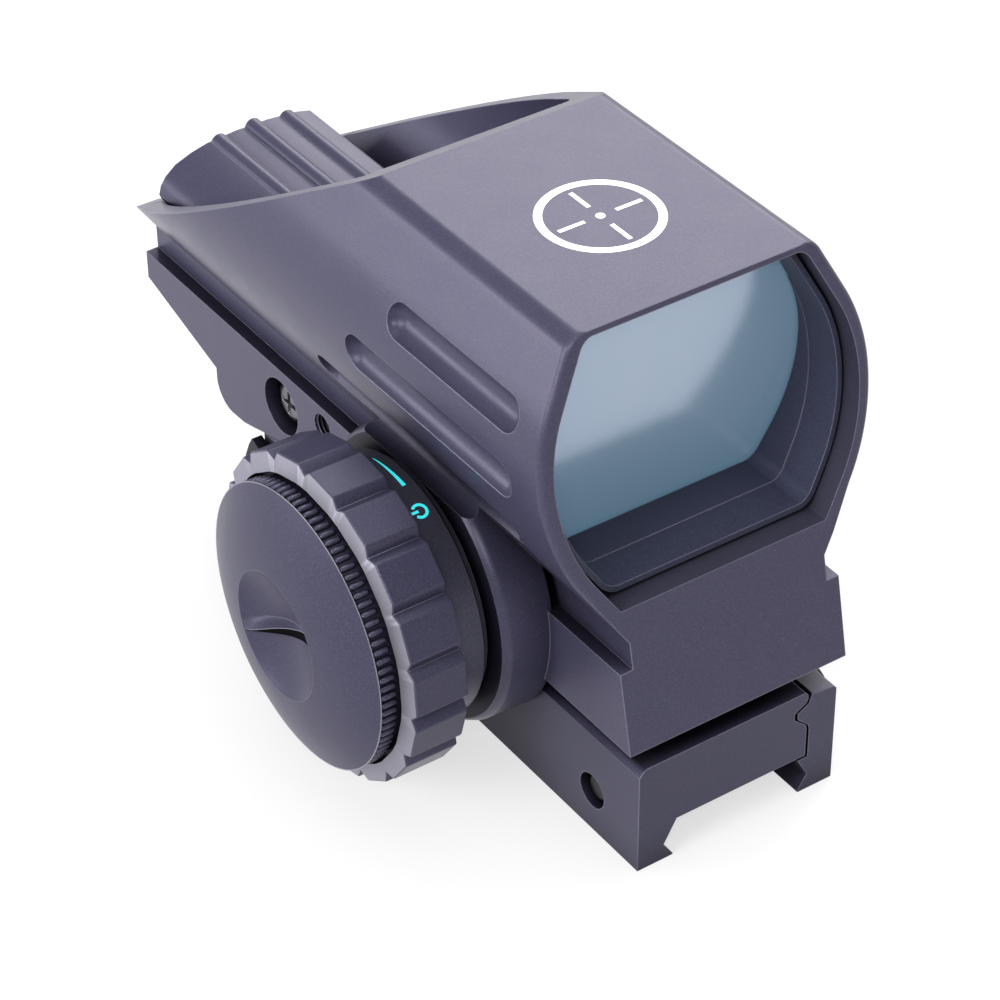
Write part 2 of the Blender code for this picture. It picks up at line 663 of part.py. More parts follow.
def make_battery_cap():
    bm = bmesh.new()
    back = -27.1
    profile = [(back + 0.0, 5.0), (back, 11.75), (back - 1.3, 11.75), (back - 1.3, 13.45)]
    profile += [(back, 13.45), (back, CAP_RADIUS), (CAP_RIM + 0.3, CAP_RADIUS)]
    steps = (13.7, 11.5, 9.0, 6.4, 5.2, 3.6, 1.6)
    profile += [(cap_face(radius), radius) for radius in steps]
    profile = [(back - 0.9, 5.0)] + profile
    turned(bm, profile, "X", (0, DIAL_Y, DIAL_Z), 48)
    cap = finish("battery_cap", bm, ANODISED, (CAP_RIM, DIAL_Y, DIAL_Z))
    fin = bmesh.new()
    outline = [(-5.9, 0.5), (-3.2, 0.05), (0.0, -0.1), (3.2, 0.05), (5.9, 0.5), (5.9, 2.6)]
    outline.append((-5.9, 2.6))
    rings = []
    for thick in (-0.6, 0.6):
        rings.append([(CAP_RIM - CAP_RISE + 0.25 + w, u, thick) for u, w in outline])
    loft(fin, rings, False)
    spin = Matrix.Rotation(-FIN_ANGLE, 4, "X")
    for vert in fin.verts:
        moved = spin @ Vector((0, vert.co.y, vert.co.z))
        vert.co = (vert.co.x, DIAL_Y + moved.y, DIAL_Z + moved.z)
    boolean(cap, cutter("join_cap_fin", fin), "UNION")


def make_cap_o_ring():
    bm = bmesh.new()
    profile = []
    for k in range(8):
        angle = 2 * math.pi * k / 8
        profile.append((-27.75 + 0.5 * math.cos(angle), 12.6 + 0.5 * math.sin(angle)))
    turned(bm, profile, "X", (0, DIAL_Y, DIAL_Z), 32, closed=True)
    finish("cap_o_ring", bm, BLACK_PLASTIC, (CAP_RIM, DIAL_Y, DIAL_Z))


def make_battery():
    """Coin cell 20 mm across and 3.2 mm thick."""
    bm = bmesh.new()
    profile = [(-23.4, 8.6), (-23.7, 8.9), (-23.7, 9.7), (-24.0, 10.0), (-26.3, 10.0), (-26.6, 9.7)]
    turned(bm, profile, "X", (0, DIAL_Y, DIAL_Z), 40)
    finish("battery", bm, STEEL)


def make_cap_contact():
    """Dished spring contact in the back of the cap."""
    bm = bmesh.new()
    profile = [(-26.85, 1.2), (-27.0, 1.2), (-27.6, 4.2), (-27.75, 4.2), (-27.75, 3.6), (-27.2, 0.8)]
    turned(bm, profile, "X", (0, DIAL_Y, DIAL_Z), 24, closed=True)
    finish("cap_contact", bm, STEEL, (CAP_RIM, DIAL_Y, DIAL_Z))


def make_switch_board():
    bm = bmesh.new()
    turned(bm, [(-13.2, 11.1), (-14.0, 11.1)], "X", (0, DIAL_Y, DIAL_Z), 32)
    finish("switch_board", bm, ((0.02, 0.12, 0.06, 1), 0.5, 0.0))


def make_contact_spring():
    """Coil spring from the switch board to the cell, through the dial's hub."""
    start, end, turns, wire, radius = -14.55, -22.8, 5, 0.3, 1.9
    per_turn, around = 12, 5
    rings = []
    for k in range(turns * per_turn + 1):
        angle = 2 * math.pi * k / per_turn
        x = start + (end - start) * k / (turns * per_turn)
        out = Vector((0, math.cos(angle), math.sin(angle)))
        centre = Vector((x, DIAL_Y, DIAL_Z)) + out * radius
        side = Vector((1, 0, 0))
        ring = []
        for i in range(around):
            a = 2 * math.pi * i / around
            ring.append(centre + (out * math.cos(a) + side * math.sin(a)) * wire)
        rings.append(ring)
    bm = bmesh.new()
    loft(bm, rings, False)
    finish("contact_spring", bm, STEEL)


for old in list(bpy.data.objects):
    bpy.data.objects.remove(old, do_unlink=True)

ROOT = bpy.data.objects.new("sight_root", None)
bpy.context.scene.collection.objects.link(ROOT)
ROOT.location = ROOT_SHIFT

make_housing()
make_lens_sleeve()
make_lens()
make_emitter_cover()
make_emitter_carriage()
make_led_holder()
make_led()
make_windage_screw()
make_lock_screw()
make_elevation_screw()
make_cover_screws()
make_clamp_base()
make_clamp_jaw()
make_clamp_bolts()
make_lock_plate()
make_clamp_screws()
make_index_collar()
make_dial_ring()
make_dial_clip()
make_battery_cap()
make_cap_o_ring()
make_battery()
make_cap_contact()
make_switch_board()
make_contact_spring()
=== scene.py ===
"""Looks of the reflex sight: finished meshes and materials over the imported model, and the studio."""
import math

import bmesh
import bpy
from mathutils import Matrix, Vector


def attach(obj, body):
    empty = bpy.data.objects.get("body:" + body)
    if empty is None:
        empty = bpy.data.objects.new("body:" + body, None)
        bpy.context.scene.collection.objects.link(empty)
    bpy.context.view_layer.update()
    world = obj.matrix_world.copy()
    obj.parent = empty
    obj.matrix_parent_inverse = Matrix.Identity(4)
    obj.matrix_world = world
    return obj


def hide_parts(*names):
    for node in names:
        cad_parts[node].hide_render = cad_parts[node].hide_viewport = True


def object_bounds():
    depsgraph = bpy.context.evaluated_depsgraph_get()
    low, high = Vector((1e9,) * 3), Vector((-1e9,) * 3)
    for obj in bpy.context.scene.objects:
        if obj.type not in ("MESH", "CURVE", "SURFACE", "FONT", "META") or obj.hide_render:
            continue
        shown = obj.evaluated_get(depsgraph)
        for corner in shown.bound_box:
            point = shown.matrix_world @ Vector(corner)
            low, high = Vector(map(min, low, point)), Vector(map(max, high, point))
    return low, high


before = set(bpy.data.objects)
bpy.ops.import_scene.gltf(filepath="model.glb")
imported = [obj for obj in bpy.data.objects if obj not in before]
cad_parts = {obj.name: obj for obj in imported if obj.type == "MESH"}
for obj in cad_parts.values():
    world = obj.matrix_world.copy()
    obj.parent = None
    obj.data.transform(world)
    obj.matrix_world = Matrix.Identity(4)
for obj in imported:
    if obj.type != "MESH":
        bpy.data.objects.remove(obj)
CAD_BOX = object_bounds()

# The shapes are drawn in mm, from where the front face meets the underside of the body.
# SHIFT takes that origin to the frame's, which is the centre of the clamp's flat seat.
# GAP is the room left between neighbouring pieces.
SHIFT = Vector((0.0, -31.88, 9.96))
MM = 0.001
GAP = 0.3

# Body and hood, mm
LEAN = math.tan(math.radians(11.82))
BODY_HALF, BODY_TOP, BODY_REAR = 12.3, 8.3, 84.6
REAR_CHAMFER_TOP, REAR_CHAMFER_RUN = 5.13, 3.4
NECK_HALF, NECK_TOP = 10.92, 10.93
HEEL_Y, HEEL_Z, HEEL_RADIUS = 68.45, 0.15, 2.85
HOOD_HALF, HOOD_WIDEST_Z, HOOD_TOP = 17.97, 27.43, 40.77
FLARE_ANGLE, FLARE_RADIUS = math.radians(33.5), 19.4
SHOULDER_ANGLE, SHOULDER_RADIUS = math.radians(27.5), 16.5
HOOD_CUT_Y, HOOD_CUT_SLOPE, SPIKE_Z = 38.93, 0.59, 12.8
HOOD_STEPS, CORNER_STEPS = 44, 8
RIM_ROUNDING = 0.75
# Flutes in each side of the hood: height, radius, front end, rear end
FLUTES = ((32.85, 1.95, 10.3, 30.6), (26.1, 2.15, 10.1, 36.8), (18.9, 2.0, 11.3, 44.3))
FLUTE_DEPTH = 1.3
# Printed ring on the hood: centre, half width of its ticks, half thickness of the print
MARK_Y, TICK_HALF, HOOD_PRINT = 22.3, 0.22, 0.02

# Window, lens and emitter cover, mm
RECESS_INSET, RECESS_FLOOR, RECESS_TOP = 1.45, 14.3, 40.2
LENS_FRONT, LENS_THICK = 13.5, 2.0
SLEEVE_SETBACK, SLEEVE_FLOOR = 2.1, 15.2
POCKET_FLOOR = 11.7
COVER_FRONT, COVER_REAR = 54.5, 82.7
RIB_SPACING, RIB_RADIUS = 4.05, 0.95

# Dial, collar and cap, mm
DIAL_Y, DIAL_Z = 27.24, 5.08
BOSS_RADIUS, BOSS_BORE, BOSS_FACE = 14.9, 11.5, -17.1
COLLAR_RADIUS, COLLAR_FACE = 13.1, -21.7
DIAL_REAR, DIAL_FACE, DIAL_BORE = -22.1, -28.0, 14.32
TOOTH_RADIUS, NOTCH_RADIUS, NOTCHES = 16.25, 15.45, 18
CAP_RADIUS, CAP_RIM, CAP_RISE, CAP_BACK = 14.1, -30.0, 2.6, -27.1
BEADS, BEAD_RING = 96, 13.62
# Thumb dish of the cap, and the finger bar across it
DISH_RADIUS, DISH_DEPTH = 6.4, 2.0
BAR_ANGLE = math.radians(24.6)
BAR_START, BAR_LENGTH, BAR_STEPS = -6.15, 12.25, 48
GROOVE_DEPTH = 0.15
# Marks on the collar: the line, the sign, half thickness of the print
LINE_X, LINE_FROM, LINE_TURN = -19.42, 103, 23
SIGN_X, SIGN_ANGLE = -19.72, math.radians(66.5)
COLLAR_PRINT = 0.03

# Clamp, mm: Y0 and Y1 are its front and rear ends
CLAMP_HALF, CLAMP_Y0, CLAMP_Y1 = 11.33, -0.14, 63.9
CLAMP_SHELF, SEAT_Z, JAW_FOOT = -2.17, -9.96, -14.26
NOTCH_HALF, NOTCH_Z, TIP_HALF, SEAT_HALF, SEAM_X = 8.36, -12.48, 7.26, 6.95, 7.98
BOLT_Z, BOLT_Y = -9.6, (7.0, 56.76)
CLAMP_SCREW_Y = (17.5, 46.3)
LOCK_PLATE_RADIUS = 4.3

# Screws, mm
WINDAGE_Y, WINDAGE_Z = 58.5, 3.9
LOCK_Y, LOCK_Z = 50.7, 6.0
ELEVATION_Y = 66.4
COVER_SCREW_X, COVER_SCREW_Y = 5.0, 80.4
FINE_PITCH, CLAMP_PITCH, THREAD_DEPTH = 0.5, 0.7, 0.12

# In metres: how far the crevice shading looks round, the distance within which two points are
# one, and how far the floor lies under the feet
CREVICE_REACH = 0.010
MERGE = 0.00001
FLOOR_DROP = 0.00005


# ---------------------------------------------------------------- materials

def new_material(name, colour, roughness, metallic):
    """A Principled material: returns the material, its node tree and the shader."""
    made = bpy.data.materials.new(name)
    made.use_nodes = True
    tree = made.node_tree
    shader = tree.nodes["Principled BSDF"]
    shader.inputs["Base Color"].default_value = (*colour, 1)
    shader.inputs["Roughness"].default_value = roughness
    shader.inputs["Metallic"].default_value = metallic
    made.diffuse_color = (*colour, 1)
    return made, tree, shader


def noise(tree, scale, detail):
    """Object-space noise; scale is in features per metre."""
    where = tree.nodes.new("ShaderNodeTexCoord")
    made = tree.nodes.new("ShaderNodeTexNoise")
    made.inputs["Scale"].default_value = scale
    made.inputs["Detail"].default_value = detail
    tree.links.new(where.outputs["Object"], made.inputs["Vector"])
    return made.outputs["Fac"]


def remap(tree, value, low, high, to_low, to_high):
    """The value stretched from low..high to to_low..to_high, held at the ends."""
    made = tree.nodes.new("ShaderNodeMapRange")
    made.inputs["From Min"].default_value = low
    made.inputs["From Max"].default_value = high
    made.inputs["To Min"].default_value = to_low
    made.inputs["To Max"].default_value = to_high
    tree.links.new(value, made.inputs["Value"])
    return made.outputs["Result"]


def mix_colour(tree, factor, first, second):
    """First where the factor is 0, second where it is 1; each is a colour or a socket."""
    made = tree.nodes.new("ShaderNodeMix")
    made.data_type = "RGBA"
    tree.links.new(factor, made.inputs["Factor"])
    for socket, colour in ((made.inputs["A"], first), (made.inputs["B"], second)):
        if isinstance(colour, tuple):
            socket.default_value = (*colour, 1)
        else:
            tree.links.new(colour, socket)
    return made.outputs["Result"]


def soft_edge(tree, radius):
    """Normal rounded over nearby edges, and a mask that is 1 where it differs from the face."""
    bevel = tree.nodes.new("ShaderNodeBevel")
    bevel.samples = 6
    bevel.inputs["Radius"].default_value = radius
    face = tree.nodes.new("ShaderNodeNewGeometry")
    dot = tree.nodes.new("ShaderNodeVectorMath")
    dot.operation = "DOT_PRODUCT"
    tree.links.new(bevel.outputs["Normal"], dot.inputs[0])
    tree.links.new(face.outputs["Normal"], dot.inputs[1])
    return bevel.outputs["Normal"], remap(tree, dot.outputs["Value"], 0.90, 1.0, 1.0, 0.0)


def finish_surface(tree, shader, grain, height, edge):
    """Fine bump over the surface, rounded at the edges when edge is a radius in metres."""
    bump = tree.nodes.new("ShaderNodeBump")
    bump.inputs["Strength"].default_value = 1.0
    bump.inputs["Distance"].default_value = height
    tree.links.new(noise(tree, grain, 3.0), bump.inputs["Height"])
    mask = None
    if edge:
        normal, mask = soft_edge(tree, edge)
        tree.links.new(normal, bump.inputs["Normal"])
    tree.links.new(bump.outputs["Normal"], shader.inputs["Normal"])
    return mask


def crevice(tree, reach):
    """0 deep in a gap, 1 in the open: how much of the surroundings a point can see."""
    made = tree.nodes.new("ShaderNodeAmbientOcclusion")
    made.samples = 8
    made.inputs["Distance"].default_value = reach
    return made.outputs["AO"]


def anodised(name, colour, edge_wear_and_highlight, roughness=0.34, metallic=0.15, edge=0.00016, grain=5200,
             dark=0.93, shine=0.28):
    """Bead-blasted anodised aluminium: fine grain, faintly cloudy, paler at the edges from wear and
    from a painted highlight.

    dark is how much colour is lost deep in a gap, as painted shade, and shine is the reflection in the
    open, which the gaps also dim as painted shade.
    """
    made, tree, shader = new_material(name, colour, roughness, metallic)
    shader.inputs["Specular Tint"].default_value = (0.91, 0.89, 1.0, 1)
    mask = finish_surface(tree, shader, grain, 0.0000045, edge)
    cloud = noise(tree, 260, 4.0)
    fine = noise(tree, 9000, 1.0)
    deep = tuple(value * 0.95 for value in colour)
    tone = mix_colour(tree, remap(tree, cloud, 0.35, 0.65, 0.0, 1.0), deep, colour)
    speckle_and_painted_light = mix_colour(tree, remap(tree, fine, 0.45, 0.75, 0.0, 0.10), tone, edge_wear_and_highlight)
    # Painted highlight: the edges turn paler, partly as wear, partly as the bright line of light along
    # them.
    if mask is not None:
        speckle_and_painted_light = mix_colour(tree, remap(tree, mask, 0.0, 1.0, 0.0, 0.6), speckle_and_painted_light, edge_wear_and_highlight)
    # Painted shade: deep in gaps and creases the colour darkens and the reflection dims.
    if dark:
        shade = tuple(value * (1 - dark) for value in colour)
        open_share = remap(tree, crevice(tree, CREVICE_REACH), 0.26, 0.72, 0.0, 1.0)
        speckle_and_painted_light = mix_colour(tree, open_share, shade, speckle_and_painted_light)
        gloss_painted_shade = remap(tree, crevice(tree, CREVICE_REACH), 0.15, 0.7, 0.04, shine)
        tree.links.new(gloss_painted_shade, shader.inputs["Specular IOR Level"])
    tree.links.new(speckle_and_painted_light, shader.inputs["Base Color"])
    rough = remap(tree, cloud, 0.3, 0.7, roughness - 0.02, roughness + 0.03)
    tree.links.new(rough, shader.inputs["Roughness"])
    return made


def metal(name, colour, roughness):
    """Plated or oiled steel with faint smears in its gloss."""
    made, tree, shader = new_material(name, colour, roughness, 1.0)
    finish_surface(tree, shader, 3000, 0.000003, 0.0001)
    smear = noise(tree, 700, 3.0)
    rough = remap(tree, smear, 0.3, 0.7, roughness * 0.8, roughness * 1.3)
    tree.links.new(rough, shader.inputs["Roughness"])
    dark = tuple(value * 0.8 for value in colour)
    tree.links.new(mix_colour(tree, smear, dark, colour), shader.inputs["Base Color"])
    return made


def plastic(name, colour, roughness, grain=4200, height=0.000006):
    """Moulded plastic or rubber: fine bump and slightly paler patches."""
    made, tree, shader = new_material(name, colour, roughness, 0.0)
    finish_surface(tree, shader, grain, height, 0.0001)
    cloud = noise(tree, 500, 3.0)
    pale = tuple(min(1.0, value * 1.35 + 0.004) for value in colour)
    tree.links.new(mix_colour(tree, cloud, colour, pale), shader.inputs["Base Color"])
    return made


def glass_coating():
    """Coated glass: a soft blue mirror that also glows faintly blue as painted reflection, partly
    see-through.
    """
    made, tree, shader = new_material("coated_glass", (0.36, 0.375, 0.44), 0.16, 0.6)
    cloud = noise(tree, 90, 2.0)
    share = remap(tree, cloud, 0.3, 0.7, 0.0, 1.0)
    tint = mix_colour(tree, share, (0.35, 0.368, 0.43), (0.375, 0.388, 0.45))
    tree.links.new(tint, shader.inputs["Base Color"])
    shader.inputs["Alpha"].default_value = 0.8
    # Painted reflection: a faint blue glow stands in for the blue of the coating's reflection.
    shader.inputs["Emission Color"].default_value = (0.20, 0.62, 0.95, 1)
    shader.inputs["Emission Strength"].default_value = 0.14
    rough = remap(tree, noise(tree, 1500, 2.0), 0.3, 0.7, 0.14, 0.18)
    tree.links.new(rough, shader.inputs["Roughness"])
    return made


def lathe_lines(made):
    """Fine turning lines round the X axis, which draw the highlight out into a fan."""
    tree = made.node_tree
    shader = tree.nodes["Principled BSDF"]
    shader.inputs["Anisotropic"].default_value = 0.35
    shader.inputs["Anisotropic Rotation"].default_value = 0.25
    run = tree.nodes.new("ShaderNodeTangent")
    run.direction_type = "RADIAL"
    run.axis = "X"
    tree.links.new(run.outputs["Tangent"], shader.inputs["Tangent"])


def mark_paint(name, colour, glow):
    """Printed paint with a little light of its own, so that it stays clear on the dark body."""
    made, tree, shader = new_material(name, colour, 0.5, 0.0)
    patch = noise(tree, 6000, 2.0)
    pale = tuple(min(1.0, value * 1.1) for value in colour)
    tree.links.new(mix_colour(tree, patch, colour, pale), shader.inputs["Base Color"])
    shader.inputs["Emission Color"].default_value = (*colour, 1)
    shader.inputs["Emission Strength"].default_value = glow
    return made


BODY = (0.0375, 0.0350, 0.0660)
DEEPER = (0.0315, 0.0295, 0.0555)
# Pale edge colour: wear, and a painted highlight along the edges.
EDGE_WEAR_AND_HIGHLIGHT = (0.26, 0.255, 0.32)
M_BODY = anodised("anodised_body", BODY, EDGE_WEAR_AND_HIGHLIGHT)
M_CLAMP = anodised("anodised_clamp", DEEPER, EDGE_WEAR_AND_HIGHLIGHT, 0.38)
M_DIAL = anodised("anodised_dial", (0.0345, 0.0325, 0.061), EDGE_WEAR_AND_HIGHLIGHT, 0.32, metallic=0.2, edge=0.00014)
M_CUT = anodised("bright_cut_face", (0.26, 0.255, 0.30), (0.6, 0.6, 0.66), 0.48,
                 metallic=0.8, edge=0.0, grain=8000, dark=0.0)
lathe_lines(M_CUT)
M_CAP = anodised("anodised_cap", DEEPER, EDGE_WEAR_AND_HIGHLIGHT, 0.36, edge=0.00012, dark=0.7, shine=0.18)
M_BEAD = anodised("polished_beads", (0.045, 0.043, 0.074), (0.5, 0.5, 0.56), 0.18,
                  metallic=0.4, edge=0.00006, dark=0.6)
M_COLLAR = anodised("black_collar", (0.056, 0.055, 0.082), (0.36, 0.36, 0.42), 0.30,
                    metallic=0.2, edge=0.0001)
M_SLEEVE = anodised("navy_sleeve", (0.029, 0.031, 0.056), (0.24, 0.24, 0.31), 0.45,
                    metallic=0.1, edge=0.0001, grain=3600, dark=0.3)
# Painted shade: the window's recess is a darker, greyer copy of the body's anodising.
M_RECESS_SHADE = anodised("recess_painted_shade", (0.030, 0.029, 0.047), (0.10, 0.10, 0.14), 0.5,
                    metallic=0.1, edge=0.00008, grain=3600, dark=0.6)
M_BLACK = anodised("black_plate", (0.010, 0.010, 0.013), (0.05, 0.05, 0.065), 0.5,
                   metallic=0.1, edge=0.0001)
# Painted shadow: near black with next to no reflection, for the groove under the finger bar of the
# thumb dish.
M_BAR_SHADOW = anodised("bar_painted_shadow", (0.002, 0.002, 0.0025), (0.003, 0.003, 0.004), 0.8,
                 metallic=0.0, edge=0.0, dark=0.0)
M_BAR_SHADOW.node_tree.nodes["Principled BSDF"].inputs["Specular IOR Level"].default_value = 0.04
M_NICKEL = metal("bright_nickel", (0.17, 0.17, 0.185), 0.24)
M_SPRING = metal("spring_steel", (0.5, 0.5, 0.52), 0.28)
M_OXIDE = metal("black_oxide", (0.055, 0.055, 0.062), 0.34)
M_CARRIAGE = metal("blackened_steel", (0.07, 0.07, 0.078), 0.45)
M_CELL = metal("nickel_cell", (0.62, 0.62, 0.64), 0.3)
M_PLASTIC = plastic("black_plastic", (0.018, 0.018, 0.021), 0.45)
M_RUBBER = plastic("black_rubber", (0.012, 0.012, 0.012), 0.65, 2500, 0.00001)
M_BOARD = plastic("green_board", (0.02, 0.13, 0.07), 0.4)
M_LED = plastic("red_led", (0.55, 0.03, 0.03), 0.12, 3000, 0.000001)
M_GLASS = glass_coating()
M_MARK = mark_paint("pale_mark", (0.86, 0.85, 0.90), 0.15)
M_CYAN = mark_paint("cyan_mark", (0.03, 0.60, 0.66), 0.55)


# ---------------------------------------------------------------- mesh helpers

def loft(bm, rings, closed):
    """Join equal rings into a skin, capped at both ends or closed on itself."""
    rows = [[bm.verts.new(point) for point in ring] for ring in rings]
    count = len(rows[0])
    pairs = list(zip(rows, rows[1:]))
    if closed:
        pairs.append((rows[-1], rows[0]))
    made = []
    for low, high in pairs:
        for i in range(count):
            j = (i + 1) % count
            made.append(bm.faces.new((low[i], low[j], high[j], high[i])))
    if not closed:
        bm.faces.new(rows[0][::-1])
        bm.faces.new(rows[-1])
    return made


def ladder(bm, levels, front, rear):
    """A block from (half width, height) levels; front and rear give its ends at a height."""
    rows = []
    for half, z in levels:
        ends = ((-half, front(z)), (half, front(z)), (half, rear(z)), (-half, rear(z)))
        rows.append([bm.verts.new((x, y, z)) for x, y in ends])
    for low, high in zip(rows, rows[1:]):
        for i in range(4):
            j = (i + 1) % 4
            bm.faces.new((low[i], low[j], high[j], high[i]))
    bm.faces.new(rows[0][::-1])
    bm.faces.new(rows[-1])


def rounded_ladder(bm, levels, front, rear, rounding):
    """A ladder whose two front corners are rounded; rounding gives the radius at a height."""
    turns = [math.pi / 2 * k / 5 for k in range(6)]
    rings = []
    for half, z in levels:
        radius = rounding(z)
        ring = []
        for turn in turns:
            x = -half + radius * (1 - math.cos(turn))
            ring.append((x, front(z) + radius * (1 - math.sin(turn)), z))
        ring += [(-x, y, z) for x, y, z in reversed(ring)]
        rings.append(ring + [(half, rear(z), z), (-half, rear(z), z)])
    loft(bm, rings, False)


def box(bm, low, high):
    corners = [(low[0], low[1]), (high[0], low[1]), (high[0], high[1]), (low[0], high[1])]
    loft(bm, [[(x, y, z) for x, y in corners] for z in (low[2], high[2])], False)


def extrude_y(bm, outline, y0, y1):
    loft(bm, [[(x, y, z) for x, z in outline] for y in (y0, y1)], False)


def extrude_x(bm, outline, x0, x1):
    loft(bm, [[(x, y, z) for y, z in outline] for x in (x0, x1)], False)


def turned(bm, profile, axis, centre, count, closed=False):
    """A lathe shape from (place along the axis, radius) points."""
    rings = []
    for along, radius in profile:
        ring = []
        for k in range(count):
            angle = 2 * math.pi * k / count
            u, v = radius * math.cos(angle), radius * math.sin(angle)
            if axis == "X":
                ring.append((along, centre[1] + u, centre[2] + v))
            elif axis == "Y":
                ring.append((centre[0] + v, along, centre[2] + u))
            else:
                ring.append((centre[0] + u, centre[1] + v, along))
        rings.append(ring)
    loft(bm, rings, closed)


def to_object(name, bm):
    """A linked object from a bmesh drawn in mm in the drawing frame."""
    bmesh.ops.recalc_face_normals(bm, faces=bm.faces)
    for vert in bm.verts:
        vert.co = (vert.co + SHIFT) * MM
    mesh = bpy.data.meshes.new(name)
    bm.to_mesh(mesh)
    bm.free()
    obj = bpy.data.objects.new(name, mesh)
    bpy.context.scene.collection.objects.link(obj)
    return obj


def settle(obj):
    """Replace the object's mesh by its evaluated one and drop its modifiers."""
    graph = bpy.context.evaluated_depsgraph_get()
    graph.update()
    mesh = bpy.data.meshes.new_from_object(obj.evaluated_get(graph), depsgraph=graph)
    obj.modifiers.clear()
    old = obj.data
    obj.data = mesh
    bpy.data.meshes.remove(old)


def carve(obj, bm, operation="DIFFERENCE", index=0):
    """Cut or join a second shape, whose faces take material index, or keep theirs for None."""
    if index is not None:
        for face in bm.faces:
            face.material_index = index
    other = to_object("tool", bm)
    step = obj.modifiers.new("step", "BOOLEAN")
    step.operation = operation
    step.solver = "EXACT"
    step.object = other
    settle(obj)
    bpy.data.objects.remove(other, do_unlink=True)


def clean(obj):
    """Merge doubled points and dissolve the slivers that the cuts leave."""
    bm = bmesh.new()
    bm.from_mesh(obj.data)
    bmesh.ops.remove_doubles(bm, verts=bm.verts, dist=MERGE)
    bmesh.ops.dissolve_degenerate(bm, edges=bm.edges, dist=MERGE)
    bm.to_mesh(obj.data)
    bm.free()


def piece(obj, material, body, nodes, edge=0.0, sharp=32, weight=80):
    """Round the edges, smooth the shading, tie the piece to its body and hide the CAD nodes it
    replaces.
    """
    if not obj.data.materials:
        obj.data.materials.append(material)
    if edge:
        step = obj.modifiers.new("edge", "BEVEL")
        step.width = edge * MM
        step.segments = 2
        step.limit_method = "ANGLE"
        step.angle_limit = math.radians(sharp)
        step.use_clamp_overlap = True
        step.miter_outer = "MITER_ARC"
        settle(obj)
    obj.data.shade_smooth()
    obj.data.set_sharp_from_angle(angle=math.radians(sharp))
    weigh = obj.modifiers.new("weighted", "WEIGHTED_NORMAL")
    weigh.keep_sharp = True
    weigh.weight = weight
    settle(obj)
    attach(obj, body)
    if nodes:
        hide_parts(*nodes)


# ---------------------------------------------------------------- housing

def hood_half(z, inset=0.0):
    """Half the hood's width at a height: a flare, its arc, the shoulder's arc and a slope."""
    low, high = FLARE_RADIUS - inset, SHOULDER_RADIUS - inset
    rise = z - HOOD_WIDEST_Z
    widest = HOOD_HALF - inset
    if rise < -low * math.sin(FLARE_ANGLE):
        past = rise + low * math.sin(FLARE_ANGLE)
        return widest - low * (1 - math.cos(FLARE_ANGLE)) + past * math.tan(FLARE_ANGLE)
    if rise < 0:
        return widest - low + math.sqrt(low * low - rise * rise)
    if rise < high * math.sin(SHOULDER_ANGLE):
        return widest - high + math.sqrt(high * high - rise * rise)
    past = rise - high * math.sin(SHOULDER_ANGLE)
    return widest - high * (1 - math.cos(SHOULDER_ANGLE)) - past * math.tan(SHOULDER_ANGLE)


def hood_levels(inset, floor, top, floor_round, top_round):
    """Levels of the hood's section, with its lower and upper corners rounded."""
    levels = []
    if floor_round:
        for k in range(CORNER_STEPS):
            turn = math.pi / 2 * k / CORNER_STEPS
            z = floor + floor_round * (1 - math.cos(turn))
            levels.append((hood_half(z, inset) - floor_round * (1 - math.sin(turn)), z))
    low, high = floor + floor_round, top - top_round
    for k in range(HOOD_STEPS + 1):
        z = low + (high - low) * k / HOOD_STEPS
        levels.append((hood_half(z, inset), z))
    for k in range(1, CORNER_STEPS + 1):
        turn = math.pi / 2 * k / CORNER_STEPS
        z = high + top_round * math.sin(turn)
        levels.append((hood_half(z, inset) - top_round * (1 - math.cos(turn)), z))
    return levels


def body_rear(z):
    """Where the housing ends at a height: chamfer, flat back, spike, slanted cut."""
    if z <= REAR_CHAMFER_TOP:
        return BODY_REAR - (REAR_CHAMFER_TOP - z) * REAR_CHAMFER_RUN
    if z <= NECK_TOP:
        return BODY_REAR
    return min(HOOD_CUT_Y + (HOOD_TOP - z) / HOOD_CUT_SLOPE, BODY_REAR + (z - NECK_TOP))


def side_groove(bm, side, z, radius, y0, y1):
    """Cutter for one round-ended flute in the hood's side."""
    x = side * (hood_half(z) + radius - FLUTE_DEPTH)
    rings = []
    steps = 14
    for end, y in ((-1, y0 + radius), (1, y1 - radius)):
        for k in range(steps + 1):
            t = math.pi / 2 * (k if end < 0 else steps - k) / steps
            size = max(radius * math.sin(t), 0.02)
            along = y + end * radius * math.cos(t)
            rings.append([
                (x + size * math.cos(a), along, z + size * math.sin(a))
                for a in (2 * math.pi * i / 40 for i in range(40))
            ])
    loft(bm, rings, False)


def heel_outline():
    """The rounded heel under the rear of the body, seen from the side."""
    outline = [(54.0, 1.0), (57.0, 0.0), (59.5, -0.7), (61.8, -1.4), (64.2, -2.1), (66.2, -2.6)]
    for k in range(17):
        turn = math.radians(270 + 90 * k / 16)
        outline.append((HEEL_Y + HEEL_RADIUS * math.cos(turn), HEEL_Z + HEEL_RADIUS * math.sin(turn)))
    return outline + [(71.3, 3.0), (66.0, 4.0)]


def rim_radius(z):
    """Rounding of the front corners: next to none at the neck, full on the hood."""
    return 0.02 + RIM_ROUNDING * min(1.0, max(0.0, z - SPIKE_Z) / 4)


